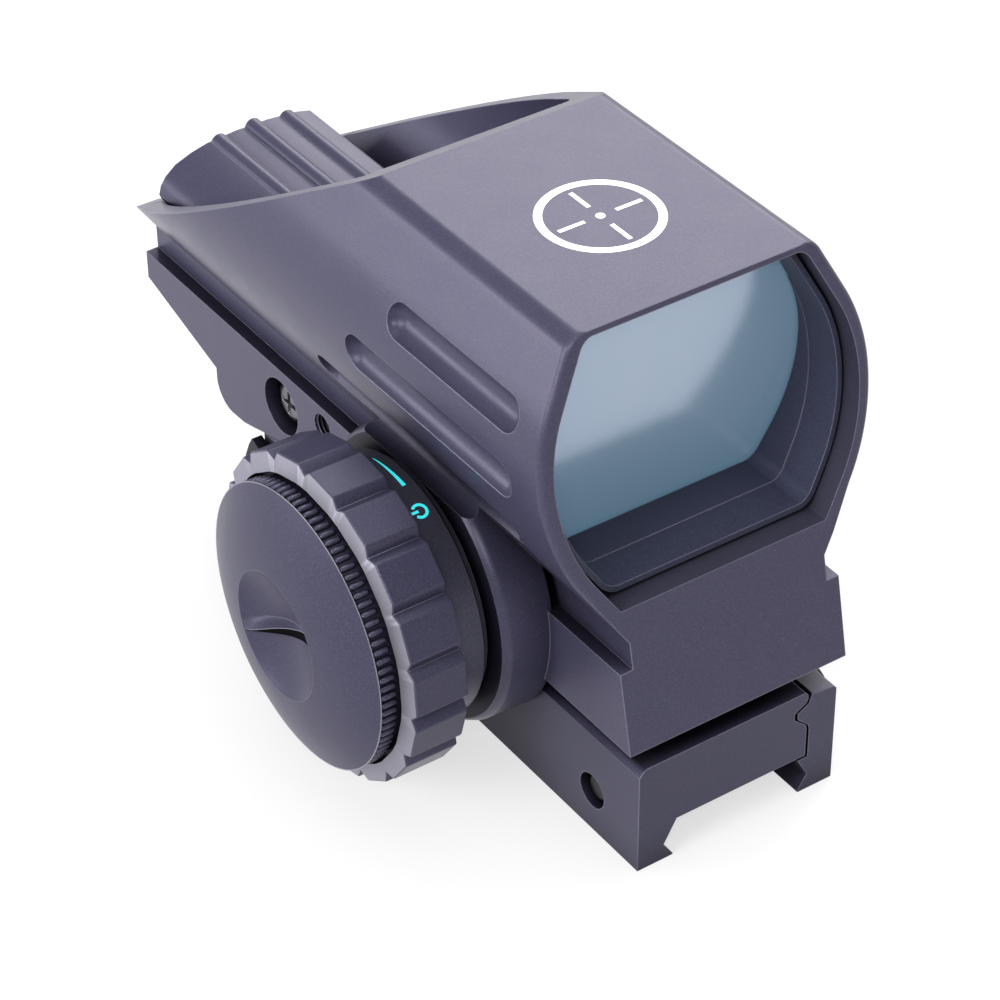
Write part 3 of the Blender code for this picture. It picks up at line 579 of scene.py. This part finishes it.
def build_housing():
    levels = [(BODY_HALF, 0.0), (BODY_HALF, REAR_CHAMFER_TOP), (BODY_HALF, BODY_TOP)]
    levels += [(NECK_HALF, BODY_TOP + 0.05), (NECK_HALF, NECK_TOP), (hood_half(SPIKE_Z), SPIKE_Z)]
    levels += hood_levels(0.0, 14.6, HOOD_TOP, 0.0, 1.3)
    bm = bmesh.new()
    rounded_ladder(bm, levels, lambda z: LEAN * z, body_rear, rim_radius)
    housing = to_object("housing_shell", bm)
    housing.data.materials.append(M_BODY)
    housing.data.materials.append(M_RECESS_SHADE)
    # Boss behind the dial
    bm = bmesh.new()
    profile = [(-11.9, BOSS_RADIUS), (BOSS_FACE + 0.9, BOSS_RADIUS - 0.15)]
    profile += [(BOSS_FACE + 0.3, BOSS_RADIUS - 0.4), (BOSS_FACE, BOSS_RADIUS - 0.7)]
    turned(bm, profile, "X", (0, DIAL_Y, DIAL_Z), 128)
    carve(housing, bm, "UNION")
    # Heel, a hair narrower than the body so that the sides do not share a face
    bm = bmesh.new()
    extrude_x(bm, heel_outline(), -BODY_HALF + 0.005, BODY_HALF - 0.005)
    carve(housing, bm, "UNION")
    # Window recess, and the channel behind the lens
    bm = bmesh.new()
    window = hood_levels(RECESS_INSET, RECESS_FLOOR, RECESS_TOP, 0.2, 0.9)
    ladder(bm, window, lambda z: LEAN * z - 4, lambda z: LENS_FRONT + LENS_THICK + GAP)
    # The recess walls take the second material, with its painted shade.
    carve(housing, bm, index=1)
    bm = bmesh.new()
    channel = hood_levels(2.0, 14.8, 38.4, 0.0, 1.2)
    ladder(bm, channel, lambda z: LENS_FRONT + LENS_THICK + GAP - 1.0, lambda z: BODY_REAR + 8)
    carve(housing, bm)
    # Pocket under the cover, and the well for the carriage in its floor
    bm = bmesh.new()
    box(bm, (-9.5, 51.0, POCKET_FLOOR), (9.5, BODY_REAR + 4, 16.0))
    carve(housing, bm)
    bm = bmesh.new()
    box(bm, (-7.3, 52.4, 1.2), (7.3, 70.85, POCKET_FLOOR + 1))
    carve(housing, bm)
    for side in (-1, 1):
        for flute in FLUTES:
            bm = bmesh.new()
            side_groove(bm, side, *flute)
            carve(housing, bm)
    # Bore of the boss, then the holes for the screws
    bm = bmesh.new()
    turned(bm, [(-12.9, BOSS_BORE), (BOSS_FACE - 1, BOSS_BORE)], "X", (0, DIAL_Y, DIAL_Z), 96)
    carve(housing, bm)
    bm = bmesh.new()
    windage = [(-13.5, 3.1), (-9.2, 3.1), (-9.2, 1.5), (-6.5, 1.5)]
    turned(bm, windage, "X", (0, WINDAGE_Y, WINDAGE_Z), 64)
    turned(bm, [(-13.5, 1.45), (-8.0, 1.45)], "X", (0, LOCK_Y, LOCK_Z), 48)
    elevation = [(-4.0, 2.45), (0.0, 2.45), (0.0, 1.95), (1.8, 1.95)]
    turned(bm, elevation, "Z", (0, ELEVATION_Y), 48)
    for side in (-1, 1):
        cover = [(0.5, 2.2), (6.6, 2.2), (6.6, 1.3), (13.0, 1.3)]
        turned(bm, cover, "Z", (side * COVER_SCREW_X, COVER_SCREW_Y), 48)
    for y in CLAMP_SCREW_Y:
        turned(bm, [(-1.0, 2.0), (6.6, 2.0)], "Z", (0, y), 32)
    carve(housing, bm)
    clean(housing)
    piece(housing, M_BODY, "sight", ["housing"])


def build_hood_mark():
    """Plain ring with four ticks and a dot, printed on the top of the hood."""
    bm = bmesh.new()
    z0, z1 = HOOD_TOP - HOOD_PRINT, HOOD_TOP + HOOD_PRINT
    centre = (0, MARK_Y)
    turned(bm, [(z0, 5.1), (z1, 5.1), (z1, 5.9), (z0, 5.9)], "Z", centre, 128, True)
    turned(bm, [(z0, 0.45), (z1, 0.45)], "Z", centre, 32)
    for low, high in ((1.7, 4.5), (-4.5, -1.7)):
        box(bm, (low, MARK_Y - TICK_HALF, z0), (high, MARK_Y + TICK_HALF, z1))
    for low, high in ((1.7, 4.5), (-4.5, -1.7)):
        box(bm, (-TICK_HALF, MARK_Y + low, z0), (TICK_HALF, MARK_Y + high, z1))
    mark = to_object("hood_mark", bm)
    piece(mark, M_MARK, "sight", [])


def build_sleeve():
    """The dark lining of the window, with a small step part way in."""
    bm = bmesh.new()
    outer = hood_levels(RECESS_INSET + GAP, SLEEVE_FLOOR - 0.55, RECESS_TOP - GAP, 1.1, 0.9)
    rear = LENS_FRONT - GAP
    ladder(bm, outer, lambda z: LEAN * z + SLEEVE_SETBACK, lambda z: rear)
    sleeve = to_object("sleeve", bm)
    bm = bmesh.new()
    inner = hood_levels(RECESS_INSET + GAP + 0.55, SLEEVE_FLOOR, RECESS_TOP - 0.9, 0.9, 0.7)
    ladder(bm, inner, lambda z: LEAN * z - 2, lambda z: LEAN * z + 6.1)
    carve(sleeve, bm)
    bm = bmesh.new()
    inner = hood_levels(RECESS_INSET + GAP + 0.63, SLEEVE_FLOOR + 0.07, RECESS_TOP - 0.95, 0.9, 0.7)
    ladder(bm, inner, lambda z: LEAN * z + 4, lambda z: rear + 2)
    carve(sleeve, bm)
    clean(sleeve)
    piece(sleeve, M_SLEEVE, "sight", ["lens_sleeve"])


def build_lens():
    bm = bmesh.new()
    outline = hood_levels(RECESS_INSET + GAP, RECESS_FLOOR + GAP, RECESS_TOP - GAP, 0.9, 0.9)
    ladder(bm, outline, lambda z: LENS_FRONT, lambda z: LENS_FRONT + LENS_THICK)
    piece(to_object("glass", bm), M_GLASS, "sight", ["lens"], edge=0.12)


# ---------------------------------------------------------------- emitter cover

def build_cover():
    left = [(-9.2, 12.0), (-9.2, 15.1), (-11.0, 15.15), (-11.3, 15.8)]
    left += [(-11.05, 16.75), (-10.45, 17.65), (-9.2, 18.65)]
    roof = [(-7.26, 19.4), (-5.4, 19.85), (-1.9, 20.15), (1.9, 20.15), (5.4, 19.85), (7.0, 19.45)]
    outline = left + roof + [(7.15, 15.6), (9.2, 15.1), (9.2, 12.0)]
    bm = bmesh.new()
    extrude_y(bm, outline, COVER_FRONT, COVER_REAR)
    cover = to_object("cover", bm)
    rib = [(COVER_FRONT + 0.4, 0.7), (COVER_FRONT + 0.5, RIB_RADIUS)]
    rib += [(COVER_REAR - 0.15, RIB_RADIUS), (COVER_REAR - 0.05, 0.85)]
    for place, z in ((-1, 19.62), (0, 20.05), (1, 19.62)):
        bm = bmesh.new()
        turned(bm, rib, "Y", (place * RIB_SPACING, 0, z), 40)
        carve(cover, bm, "UNION")
    # Hollow for the carriage, then the screw holes
    bm = bmesh.new()
    box(bm, (-6.3, COVER_FRONT - 2, 10.0), (5.9, 78.0, 18.2))
    carve(cover, bm)
    bm = bmesh.new()
    for side in (-1, 1):
        turned(bm, [(11.0, 1.2), (15.6, 1.2)], "Z", (side * COVER_SCREW_X, COVER_SCREW_Y), 32)
    carve(cover, bm)
    clean(cover)
    piece(cover, M_BODY, "sight", ["emitter_cover"], sharp=28)


# ---------------------------------------------------------------- clamp

def build_clamp():
    left = [(-CLAMP_HALF, JAW_FOOT), (-CLAMP_HALF, -2.99), (-10.95, -2.45), (-10.5, CLAMP_SHELF)]
    right = [(7.62, CLAMP_SHELF), (7.95, -2.5), (SEAM_X, -2.99), (7.81, -3.41), (6.47, -4.19)]
    right += [(6.47, -4.92), (7.87, -6.14), (SEAM_X, -6.6), (SEAM_X, SEAT_Z)]
    under = [(-SEAT_HALF, SEAT_Z), (-NOTCH_HALF, NOTCH_Z), (-TIP_HALF, -14.15), (-7.4, JAW_FOOT)]
    bm = bmesh.new()
    extrude_y(bm, left + right + under, CLAMP_Y0, CLAMP_Y1)
    base = to_object("clamp_fixed_half", bm)
    # Raised pad under the body, lowered rear end, then the holes
    bm = bmesh.new()
    box(bm, (-6.8, CLAMP_Y0 + 3.2, CLAMP_SHELF - 1.0), (5.6, 56.0, -GAP))
    carve(base, bm, "UNION")
    bm = bmesh.new()
    box(bm, (-CLAMP_HALF - 1, 62.9, CLAMP_SHELF - 0.4), (SEAM_X + 2, CLAMP_Y1 + 2, 1.0))
    carve(base, bm)
    bm = bmesh.new()
    for y in BOLT_Y:
        turned(bm, [(-13.0, 1.85), (9.5, 1.85)], "X", (0, y, BOLT_Z), 48)
    for y in CLAMP_SCREW_Y:
        turned(bm, [(-11.5, 3.3), (-7.2, 3.3), (-7.2, 2.1), (1.0, 2.1)], "Z", (0, y), 48)
    carve(base, bm)
    clean(base)
    piece(base, M_CLAMP, "sight", ["clamp_base"])


def build_jaw():
    seam = SEAM_X + GAP
    flank = (NOTCH_Z - (SEAT_Z - GAP)) / (NOTCH_Z - SEAT_Z)
    inner = NOTCH_HALF - (NOTCH_HALF - SEAT_HALF) * flank
    outline = [(CLAMP_HALF, JAW_FOOT), (7.4, JAW_FOOT), (TIP_HALF, -14.15), (NOTCH_HALF, NOTCH_Z)]
    outline += [(inner, SEAT_Z - GAP), (seam, SEAT_Z - GAP), (seam, -6.7), (8.1, -6.2)]
    outline += [(6.85, -5.05), (6.85, -4.35), (8.1, -3.65), (seam, -3.1), (8.45, -2.6)]
    outline += [(9.2, -2.75), (10.6, -2.9), (11.0, -2.95), (CLAMP_HALF, -3.3)]
    bm = bmesh.new()
    extrude_y(bm, outline, CLAMP_Y0, CLAMP_Y1)
    jaw = to_object("clamp_moving_half", bm)
    bm = bmesh.new()
    for y in BOLT_Y:
        turned(bm, [(5.0, 1.8), (13.0, 1.8)], "X", (0, y, BOLT_Z), 48)
    carve(jaw, bm)
    clean(jaw)
    piece(jaw, M_CLAMP, "jaw", ["clamp_jaw"])


def build_lock_plate():
    outline = []
    for k in range(31):
        turn = math.radians(120 + 180 * k / 30)
        across = LOCK_PLATE_RADIUS * math.cos(turn)
        outline.append((BOLT_Y[1] + across, BOLT_Z + LOCK_PLATE_RADIUS * math.sin(turn)))
    outline += [(64.6, -10.6), (65.9, -8.8), (65.9, -7.3), (65.2, -5.6), (64.6, -4.2)]
    outline += [(63.9, -3.05), (62.4, -3.65), (57.4, -5.2)]
    bm = bmesh.new()
    extrude_x(bm, outline, -CLAMP_HALF - 1.55, -CLAMP_HALF - GAP)
    plate = to_object("lock_plate", bm)
    bm = bmesh.new()
    turned(bm, [(-14.0, 1.8), (-10.0, 1.8)], "X", (0, BOLT_Y[1], BOLT_Z), 48)
    carve(plate, bm)
    clean(plate)
    piece(plate, M_BLACK, "sight", ["clamp_lock_plate"], edge=0.12)


# ---------------------------------------------------------------- screws

def socket_screw(name, profile, axis, centre, socket, body, node):
    """A turned screw with a hexagon socket, given as (start, end, radius)."""
    bm = bmesh.new()
    turned(bm, profile, axis, centre, 64)
    screw = to_object(name, bm)
    bm = bmesh.new()
    turned(bm, [(socket[0], socket[2]), (socket[1], socket[2])], axis, centre, 6)
    carve(screw, bm)
    clean(screw)
    piece(screw, M_OXIDE, body, [node], edge=0.08)


def threaded(profile_head, start, end, radius, pitch):
    """The head's profile with a run of fine thread rings added between start and end."""
    points = list(profile_head)
    count = int(abs(end - start) / pitch)
    step = pitch if end > start else -pitch
    for k in range(count):
        points.append((start + step * (k + 0.05), radius - THREAD_DEPTH))
        points.append((start + step * (k + 0.5), radius))
        points.append((start + step * (k + 0.95), radius - THREAD_DEPTH))
    return points


def cross_screw(name, profile, axis, centre, size, span, body, node, material):
    """A turned screw with a cross recess of half length size that narrows over its span."""
    bm = bmesh.new()
    turned(bm, profile, axis, centre, 64)
    screw = to_object(name, bm)
    for a, b in ((size, 0.3), (0.3, size)):
        rings = []
        for depth, share in ((span[0], 1.0), (span[1], 0.45)):
            ring = []
            for i, j in ((-1, -1), (1, -1), (1, 1), (-1, 1)):
                u, v = i * a * share, j * b * share
                if axis == "X":
                    ring.append((depth, centre[1] + u, centre[2] + v))
                else:
                    ring.append((centre[0] + u, centre[1] + v, depth))
            rings.append(ring)
        bm = bmesh.new()
        loft(bm, rings, False)
        carve(screw, bm)
    clean(screw)
    piece(screw, material, body, [node], edge=0.06)


def build_screws():
    profile = [(-11.4, 1.4), (-11.32, 1.75), (-11.1, 2.15), (-10.85, 2.4), (-10.6, 2.5)]
    profile = threaded(profile + [(-9.6, 2.5), (-9.6, 1.1)], -9.3, 6.1, 1.1, FINE_PITCH)
    cross_screw("windage_adjuster", profile, "X", (0, WINDAGE_Y, WINDAGE_Z), 1.55, (-12.0, -10.1),
                "windage", "windage_screw", M_NICKEL)
    profile = [(-1.7, 1.6), (-1.62, 1.85), (-1.4, 2.15), (-0.3, 2.15), (-0.3, 1.6)]
    profile = threaded(profile, 0.0, 8.5, 1.6, FINE_PITCH)
    cross_screw("elevation_adjuster", profile, "Z", (0, ELEVATION_Y, 0), 1.4, (-2.4, -0.7),
                "elevation", "elevation_screw", M_NICKEL)
    profile = [(4.6, 1.5), (4.9, 1.85), (6.3, 1.85), (6.3, 0.9), (15.2, 0.9)]
    for side, name in ((-1, "cover_screw_left"), (1, "cover_screw_right")):
        centre = (side * COVER_SCREW_X, COVER_SCREW_Y, 0)
        cross_screw(name + "_fine", profile, "Z", centre, 1.1, (4.0, 5.6), "sight", name, M_OXIDE)
    profile = [(-11.0, 0.85), (-10.85, 1.12), (-8.3, 1.12)]
    socket_screw("lock_grub", profile, "X", (0, LOCK_Y, LOCK_Z), (-12, -10, 0.55),
                 "sight", "windage_lock_screw")
    profile = threaded([(-10.7, 1.2), (-10.45, 1.5)], -10.3, 4.0, 1.5, CLAMP_PITCH)
    profile += [(4.2, 1.5), (11.65, 1.5), (11.65, 3.1), (14.25, 3.1), (14.5, 2.95), (14.6, 2.7)]
    for tag, y in zip(("front", "rear"), BOLT_Y):
        socket_screw("bolt_" + tag, profile, "X", (0, y, BOLT_Z), (12.6, 16, 1.55),
                     tag + "_bolt", "clamp_bolt_" + tag)
    profile = [(-9.9, 2.7), (-9.6, 3.0), (-7.5, 3.0), (-7.5, 1.7)]
    profile = threaded(profile, -7.0, 5.8, 1.7, CLAMP_PITCH)
    for tag, y in zip(("front", "rear"), CLAMP_SCREW_Y):
        socket_screw("fixing_" + tag, profile, "Z", (0, y, 0), (-11, -8.6, 1.5),
                     "sight", "clamp_screw_" + tag)


def build_lock_thread():
    """Thread rings in the mouth of the windage lock hole."""
    bm = bmesh.new()
    for k in range(3):
        x = -12.1 + 0.42 * k
        turned(bm, [(x, 1.5), (x + 0.15, 1.3), (x + 0.3, 1.5)], "X", (0, LOCK_Y, LOCK_Z), 48, True)
    piece(to_object("lock_thread", bm), M_CLAMP, "sight", [])


# ---------------------------------------------------------------- dial

def tooth_outline():
    """(angle, radius) round the dial: flat teeth between soft V notches."""
    pitch = 2 * math.pi / NOTCHES
    points = []
    deep = TOOTH_RADIUS - NOTCH_RADIUS
    shape = [(0.0, 1.0), (0.35, 0.93), (1.6, 0.52), (2.9, 0.12), (3.3, 0.03), (3.75, 0.0)]
    for k in range(NOTCHES):
        middle = k * pitch
        for degrees, share in reversed(shape[1:]):
            points.append((middle - math.radians(degrees), TOOTH_RADIUS - deep * share))
        for degrees, share in shape:
            points.append((middle + math.radians(degrees), TOOTH_RADIUS - deep * share))
    return points


def build_dial_ring():
    """The notched ring; a profile radius under 1 is an offset from the notched outline."""
    outline = tooth_outline()
    turn = math.radians(14.6)
    profile = [
        (DIAL_FACE, DIAL_BORE), (DIAL_FACE + 0.34, -0.12), (DIAL_FACE + 0.39, -0.04),
        (DIAL_FACE + 0.47, 0.0), (DIAL_REAR - 0.2, 0.0), (DIAL_REAR - 0.05, -0.06),
        (DIAL_REAR, -0.2), (DIAL_REAR, 10.5), (-17.2, 10.5), (-17.2, 9.7), (-16.2, 9.7),
        (-16.2, 10.5), (-14.4, 10.5), (-14.4, 9.0), (-22.0, 9.0), (-22.0, 3.0), (-23.1, 3.0),
        (-23.1, 10.4), (-26.8, 10.4), (-26.8, 14.5), (DIAL_FACE + 0.6, 14.5),
        (DIAL_FACE + 0.5, DIAL_BORE),
    ]
    bm = bmesh.new()
    rings = []
    for x, radius in profile:
        ring = []
        for angle, outer in outline:
            size = radius if radius > 1 else outer + radius
            y = DIAL_Y - size * math.cos(angle + turn)
            ring.append((x, y, DIAL_Z + size * math.sin(angle + turn)))
        rings.append(ring)
    faces = loft(bm, rings, True)
    # The first ring of faces is the bright cut front
    for face in faces[:len(outline)]:
        face.material_index = 1
    ring = to_object("dial", bm)
    keep = [polygon.material_index for polygon in ring.data.polygons]
    ring.data.materials.append(M_DIAL)
    ring.data.materials.append(M_CUT)
    ring.data.polygons.foreach_set("material_index", keep)
    piece(ring, M_DIAL, "dial", ["dial_ring"], sharp=40, weight=50)


def cap_face(radius):
    """Where the domed face of the cap lies at a radius, before the thumb dish."""
    return CAP_RIM - CAP_RISE * (1 - (radius / (CAP_RADIUS - 0.15)) ** 2.6)


def dish(radius):
    """How far the thumb dish is sunk at a radius."""
    if radius >= DISH_RADIUS:
        return 0.0
    share = radius / DISH_RADIUS
    return DISH_DEPTH * (1 - share ** 2) + 0.12 * (1 - share ** 12)


def dish_floor(u, v):
    """The cap's surface at u along the bar and v across it."""
    radius = math.hypot(u, v)
    return cap_face(radius) + dish(radius)


def crest(u):
    """How far across the dish the bar's lower edge runs, at u along the bar."""
    return -0.03 + 0.035 * u - 0.004 * u * u


def bar_rise(u):
    """How far the bar's lower edge stands out of the dish."""
    return dish(math.hypot(u, crest(u))) * (0.88 - 0.048 * (u - BAR_START)) + 0.03


def shadow_groove_share(u):
    """Share of the bar's width taken by the shallow groove along its lower edge, painted black as the
    bar's shadow.
    """
    return min(0.97, max(0.03, 0.06 + 0.064 * (u + 4.3) + 0.02 * max(0.0, u - 1.6) ** 2))


def blade_section(u):
    """Section of the finger bar at u along it; points 10 to 14 bound the shallow groove that holds the
    painted shadow.
    """
    low = crest(u)
    width = 1.25 * (0.5 - u / 12.9) ** 0.4 + 0.05
    rise = bar_rise(u)
    share = shadow_groove_share(u)
    run = [(1 + (share - 1) * k / 9, 0.0) for k in range(10)]
    run += [(share * part, GROOVE_DEPTH) for part in (0.98, 0.5, 0.06)] + [(0.0, 0.0)]
    section = [(dish_floor(u, low + width) + 0.9, u, low + width)]
    for t, sunk in run:
        surface = dish_floor(u, low + width * t) + 0.03 - rise * (1 - t) ** 1.2
        section.append((surface + sunk, u, low + width * t))
    section.append((dish_floor(u, low) + 0.9, u, low - 0.02))
    return section


def turn_to_dish(bm):
    """Turn (x, along, across) about the cap's axis so that the bar lies at its angle."""
    along = Vector((-math.cos(BAR_ANGLE), math.sin(BAR_ANGLE)))
    across = Vector((math.sin(BAR_ANGLE), math.cos(BAR_ANGLE)))
    for vert in bm.verts:
        flat = along * vert.co.y + across * vert.co.z
        vert.co = (vert.co.x, DIAL_Y + flat.x, DIAL_Z + flat.y)


def build_cap():
    well = CAP_BACK - 1.3
    profile = [(CAP_BACK - 0.9, 5.0), (CAP_BACK, 5.0), (CAP_BACK, 11.75), (well, 11.75)]
    profile += [(well, 13.45), (CAP_BACK, 13.45), (CAP_BACK, BEAD_RING), (-29.84, BEAD_RING)]
    profile += [(-29.88, 13.95), (-29.93, CAP_RADIUS), (-29.99, CAP_RADIUS)]
    radii = [14.0] + [13.95 - 0.45 * k for k in range(1, 16)]
    radii += [6.75, 6.55, 6.42, 6.36, 6.25, 6.0] + [5.6 - 0.4 * k for k in range(14)]
    for radius in radii:
        profile.append((cap_face(radius) + dish(radius), radius))
    bm = bmesh.new()
    turned(bm, profile, "X", (0, DIAL_Y, DIAL_Z), 192)
    # The outermost edge of the face is cut bright
    for face in bm.faces:
        middle = face.calc_center_median()
        out = math.hypot(middle.y - DIAL_Y, middle.z - DIAL_Z)
        face.material_index = 1 if out > 13.98 and middle.x < -29.9 else 0
    cap = to_object("cap", bm)
    for given in (M_CAP, M_CUT, M_BAR_SHADOW):
        cap.data.materials.append(given)
    bm = bmesh.new()
    places = [BAR_START + BAR_LENGTH * k / BAR_STEPS for k in range(BAR_STEPS + 1)]
    sections = [blade_section(place) for place in places]
    # Faces of the groove take the third material, the bar's painted shadow.
    for number, face in enumerate(loft(bm, sections, False)):
        side = number % len(sections[0])
        face.material_index = 2 if 10 <= side <= 13 else 0
    turn_to_dish(bm)
    carve(cap, bm, "UNION", None)
    clean(cap)
    piece(cap, M_CAP, "cap", ["battery_cap"], sharp=30)


def build_beads():
    """Rounded grips round the side of the cap."""
    bm = bmesh.new()
    profile = ((-29.88, 0.10), (-29.84, 0.20), (-29.72, 0.28), (-29.5, 0.33),
               (-28.4, 0.33), (-28.2, 0.25), (-28.1, 0.10))
    for k in range(BEADS):
        angle = 2 * math.pi * k / BEADS
        out = Vector((0, -math.cos(angle), math.sin(angle)))
        side = Vector((0, math.sin(angle), math.cos(angle)))
        middle = Vector((0, DIAL_Y - BEAD_RING * math.cos(angle), DIAL_Z + BEAD_RING * math.sin(angle)))
        rings = []
        for x, radius in profile:
            ring = []
            for i in range(10):
                a = 2 * math.pi * i / 10
                point = middle + out * radius * 1.35 * math.sin(a) + side * radius * math.cos(a)
                ring.append((x, point.y, point.z))
            rings.append(ring)
        loft(bm, rings, False)
    beads = to_object("cap_beads", bm)
    piece(beads, M_BEAD, "cap", [], sharp=60)


def build_collar():
    bm = bmesh.new()
    profile = [(-17.4, 10.8), (-17.4, 12.3), (-18.15, 12.3), (-18.2, COLLAR_RADIUS - 0.12)]
    profile += [(-18.32, COLLAR_RADIUS), (COLLAR_FACE + 0.25, COLLAR_RADIUS)]
    profile += [(COLLAR_FACE, COLLAR_RADIUS - 0.3), (COLLAR_FACE, 10.8)]
    turned(bm, profile, "X", (0, DIAL_Y, DIAL_Z), 192, closed=True)
    piece(to_object("collar", bm), M_COLLAR, "sight", ["index_collar"])


def on_collar(x, angle, lift):
    """A point on the collar's side, lifted off it, or sunk where lift is negative."""
    radius = COLLAR_RADIUS + lift
    return (x, DIAL_Y - radius * math.cos(angle), DIAL_Z + radius * math.sin(angle))


def band(bm, inner, outer):
    """A thin strip on the collar between two equal runs of (x, angle) points."""
    rings = []
    for low, high in zip(inner, outer):
        ring = [on_collar(*low, -COLLAR_PRINT), on_collar(*high, -COLLAR_PRINT)]
        rings.append(ring + [on_collar(*high, COLLAR_PRINT), on_collar(*low, COLLAR_PRINT)])
    loft(bm, rings, False)


def build_marks():
    """A line that widens round the collar, and an open ring with a short stroke into it."""
    bm = bmesh.new()
    inner, outer = [], []
    for k in range(25):
        t = k / 24
        angle = math.radians(LINE_FROM - LINE_TURN * t)
        width = 0.02 + 0.36 * t ** 0.8
        inner.append((LINE_X - width / 2, angle))
        outer.append((LINE_X + width / 2, angle))
    band(bm, inner, outer)
    inner, outer = [], []
    for k in range(33):
        turn = math.radians(-142 + 284 * k / 32)
        for run, radius in ((inner, 0.52), (outer, 0.8)):
            angle = SIGN_ANGLE + radius * math.sin(turn) / COLLAR_RADIUS
            run.append((SIGN_X + radius * math.cos(turn), angle))
    band(bm, inner, outer)
    half = 0.14 / COLLAR_RADIUS
    low, high = SIGN_ANGLE - half, SIGN_ANGLE + half
    band(bm, [(SIGN_X - 0.85, low), (SIGN_X - 0.15, low)],
         [(SIGN_X - 0.85, high), (SIGN_X - 0.15, high)])
    piece(to_object("collar_marks", bm), M_CYAN, "sight", [])


# ---------------------------------------------------------------- kept CAD nodes

def dress_nodes():
    """Materials for the hidden parts, which show their CAD mesh."""
    for node, material in (
        ("emitter_carriage", M_CARRIAGE), ("led_holder", M_PLASTIC), ("led", M_LED),
        ("dial_clip", M_SPRING), ("cap_o_ring", M_RUBBER), ("battery", M_CELL),
        ("cap_contact", M_SPRING), ("switch_board", M_BOARD), ("contact_spring", M_SPRING),
    ):
        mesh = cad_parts[node].data
        if not mesh.materials:
            mesh.materials.append(material)
        for index in range(len(mesh.materials)):
            mesh.materials[index] = material


# ---------------------------------------------------------------- studio

def area(name, place, target, size, power):
    """A rectangular light at a place, turned towards its target."""
    light = bpy.data.lights.new(name, "AREA")
    light.shape = "RECTANGLE"
    light.size, light.size_y = size
    light.energy = power
    obj = bpy.data.objects.new(name, light)
    bpy.context.scene.collection.objects.link(obj)
    obj.location = place
    obj.rotation_euler = (Vector(target) - obj.location).to_track_quat("-Z", "Y").to_euler()


def build_studio():
    """A pale paper floor that glows a little, an even grey-white sky and five soft lights."""
    bm = bmesh.new()
    bmesh.ops.create_grid(bm, x_segments=24, y_segments=24, size=1.6)
    mesh = bpy.data.meshes.new("floor")
    bm.to_mesh(mesh)
    bm.free()
    floor = bpy.data.objects.new("floor", mesh)
    bpy.context.scene.collection.objects.link(floor)
    floor.location.z = CAD_BOX[0][2] - FLOOR_DROP
    made, tree, shader = new_material("floor_paper", (0.27, 0.27, 0.274), 0.9, 0.0)
    paper = mix_colour(tree, noise(tree, 8, 2.0), (0.265, 0.265, 0.269), (0.28, 0.28, 0.284))
    tree.links.new(paper, shader.inputs["Base Color"])
    shader.inputs["Emission Color"].default_value = (1, 1, 1, 1)
    shader.inputs["Emission Strength"].default_value = 0.62
    mesh.materials.append(made)
    world = bpy.data.worlds.new("studio")
    bpy.context.scene.world = world
    world.use_nodes = True
    tree = world.node_tree
    back = tree.nodes["Background"]
    back.inputs["Color"].default_value = (1, 1, 1, 1)
    back.inputs["Strength"].default_value = 0.52
    area("key", (0.04, -0.03, 0.60), (0, 0, 0.02), (0.50, 0.50), 1.5)
    area("rear", (0.38, 0.32, 0.38), (0, 0, 0.04), (0.50, 0.50), 3.8)
    area("left", (-0.54, 0.34, 0.17), (0, 0, 0.03), (0.40, 0.20), 2.4)
    area("side", (-0.50, -0.10, 0.32), (0, 0, 0.03), (0.26, 0.22), 2.3)
    area("front", (-0.30, -0.42, 0.43), (0, 0, 0.02), (0.16, 0.16), 1.6)
    bpy.context.scene.view_settings.view_transform = "Standard"


def build_camera():
    """The photo's point of view, worked out from straight edges and circles in it."""
    lens = bpy.data.cameras.new("view")
    lens.lens = 123.652
    lens.sensor_width = 36
    lens.clip_start = 0.01
    lens.clip_end = 10
    camera = bpy.data.objects.new("view", lens)
    bpy.context.scene.collection.objects.link(camera)
    camera.location = (-0.150762, -0.213715, 0.213573)
    camera.rotation_euler = [math.radians(angle) for angle in (52.5764, 0.3340, -34.6794)]
    bpy.context.scene.camera = camera


build_housing()
build_hood_mark()
build_sleeve()
build_lens()
build_cover()
build_clamp()
build_jaw()
build_lock_plate()
build_screws()
build_lock_thread()
build_dial_ring()
build_cap()
build_beads()
build_collar()
build_marks()
dress_nodes()
build_studio()
build_camera()
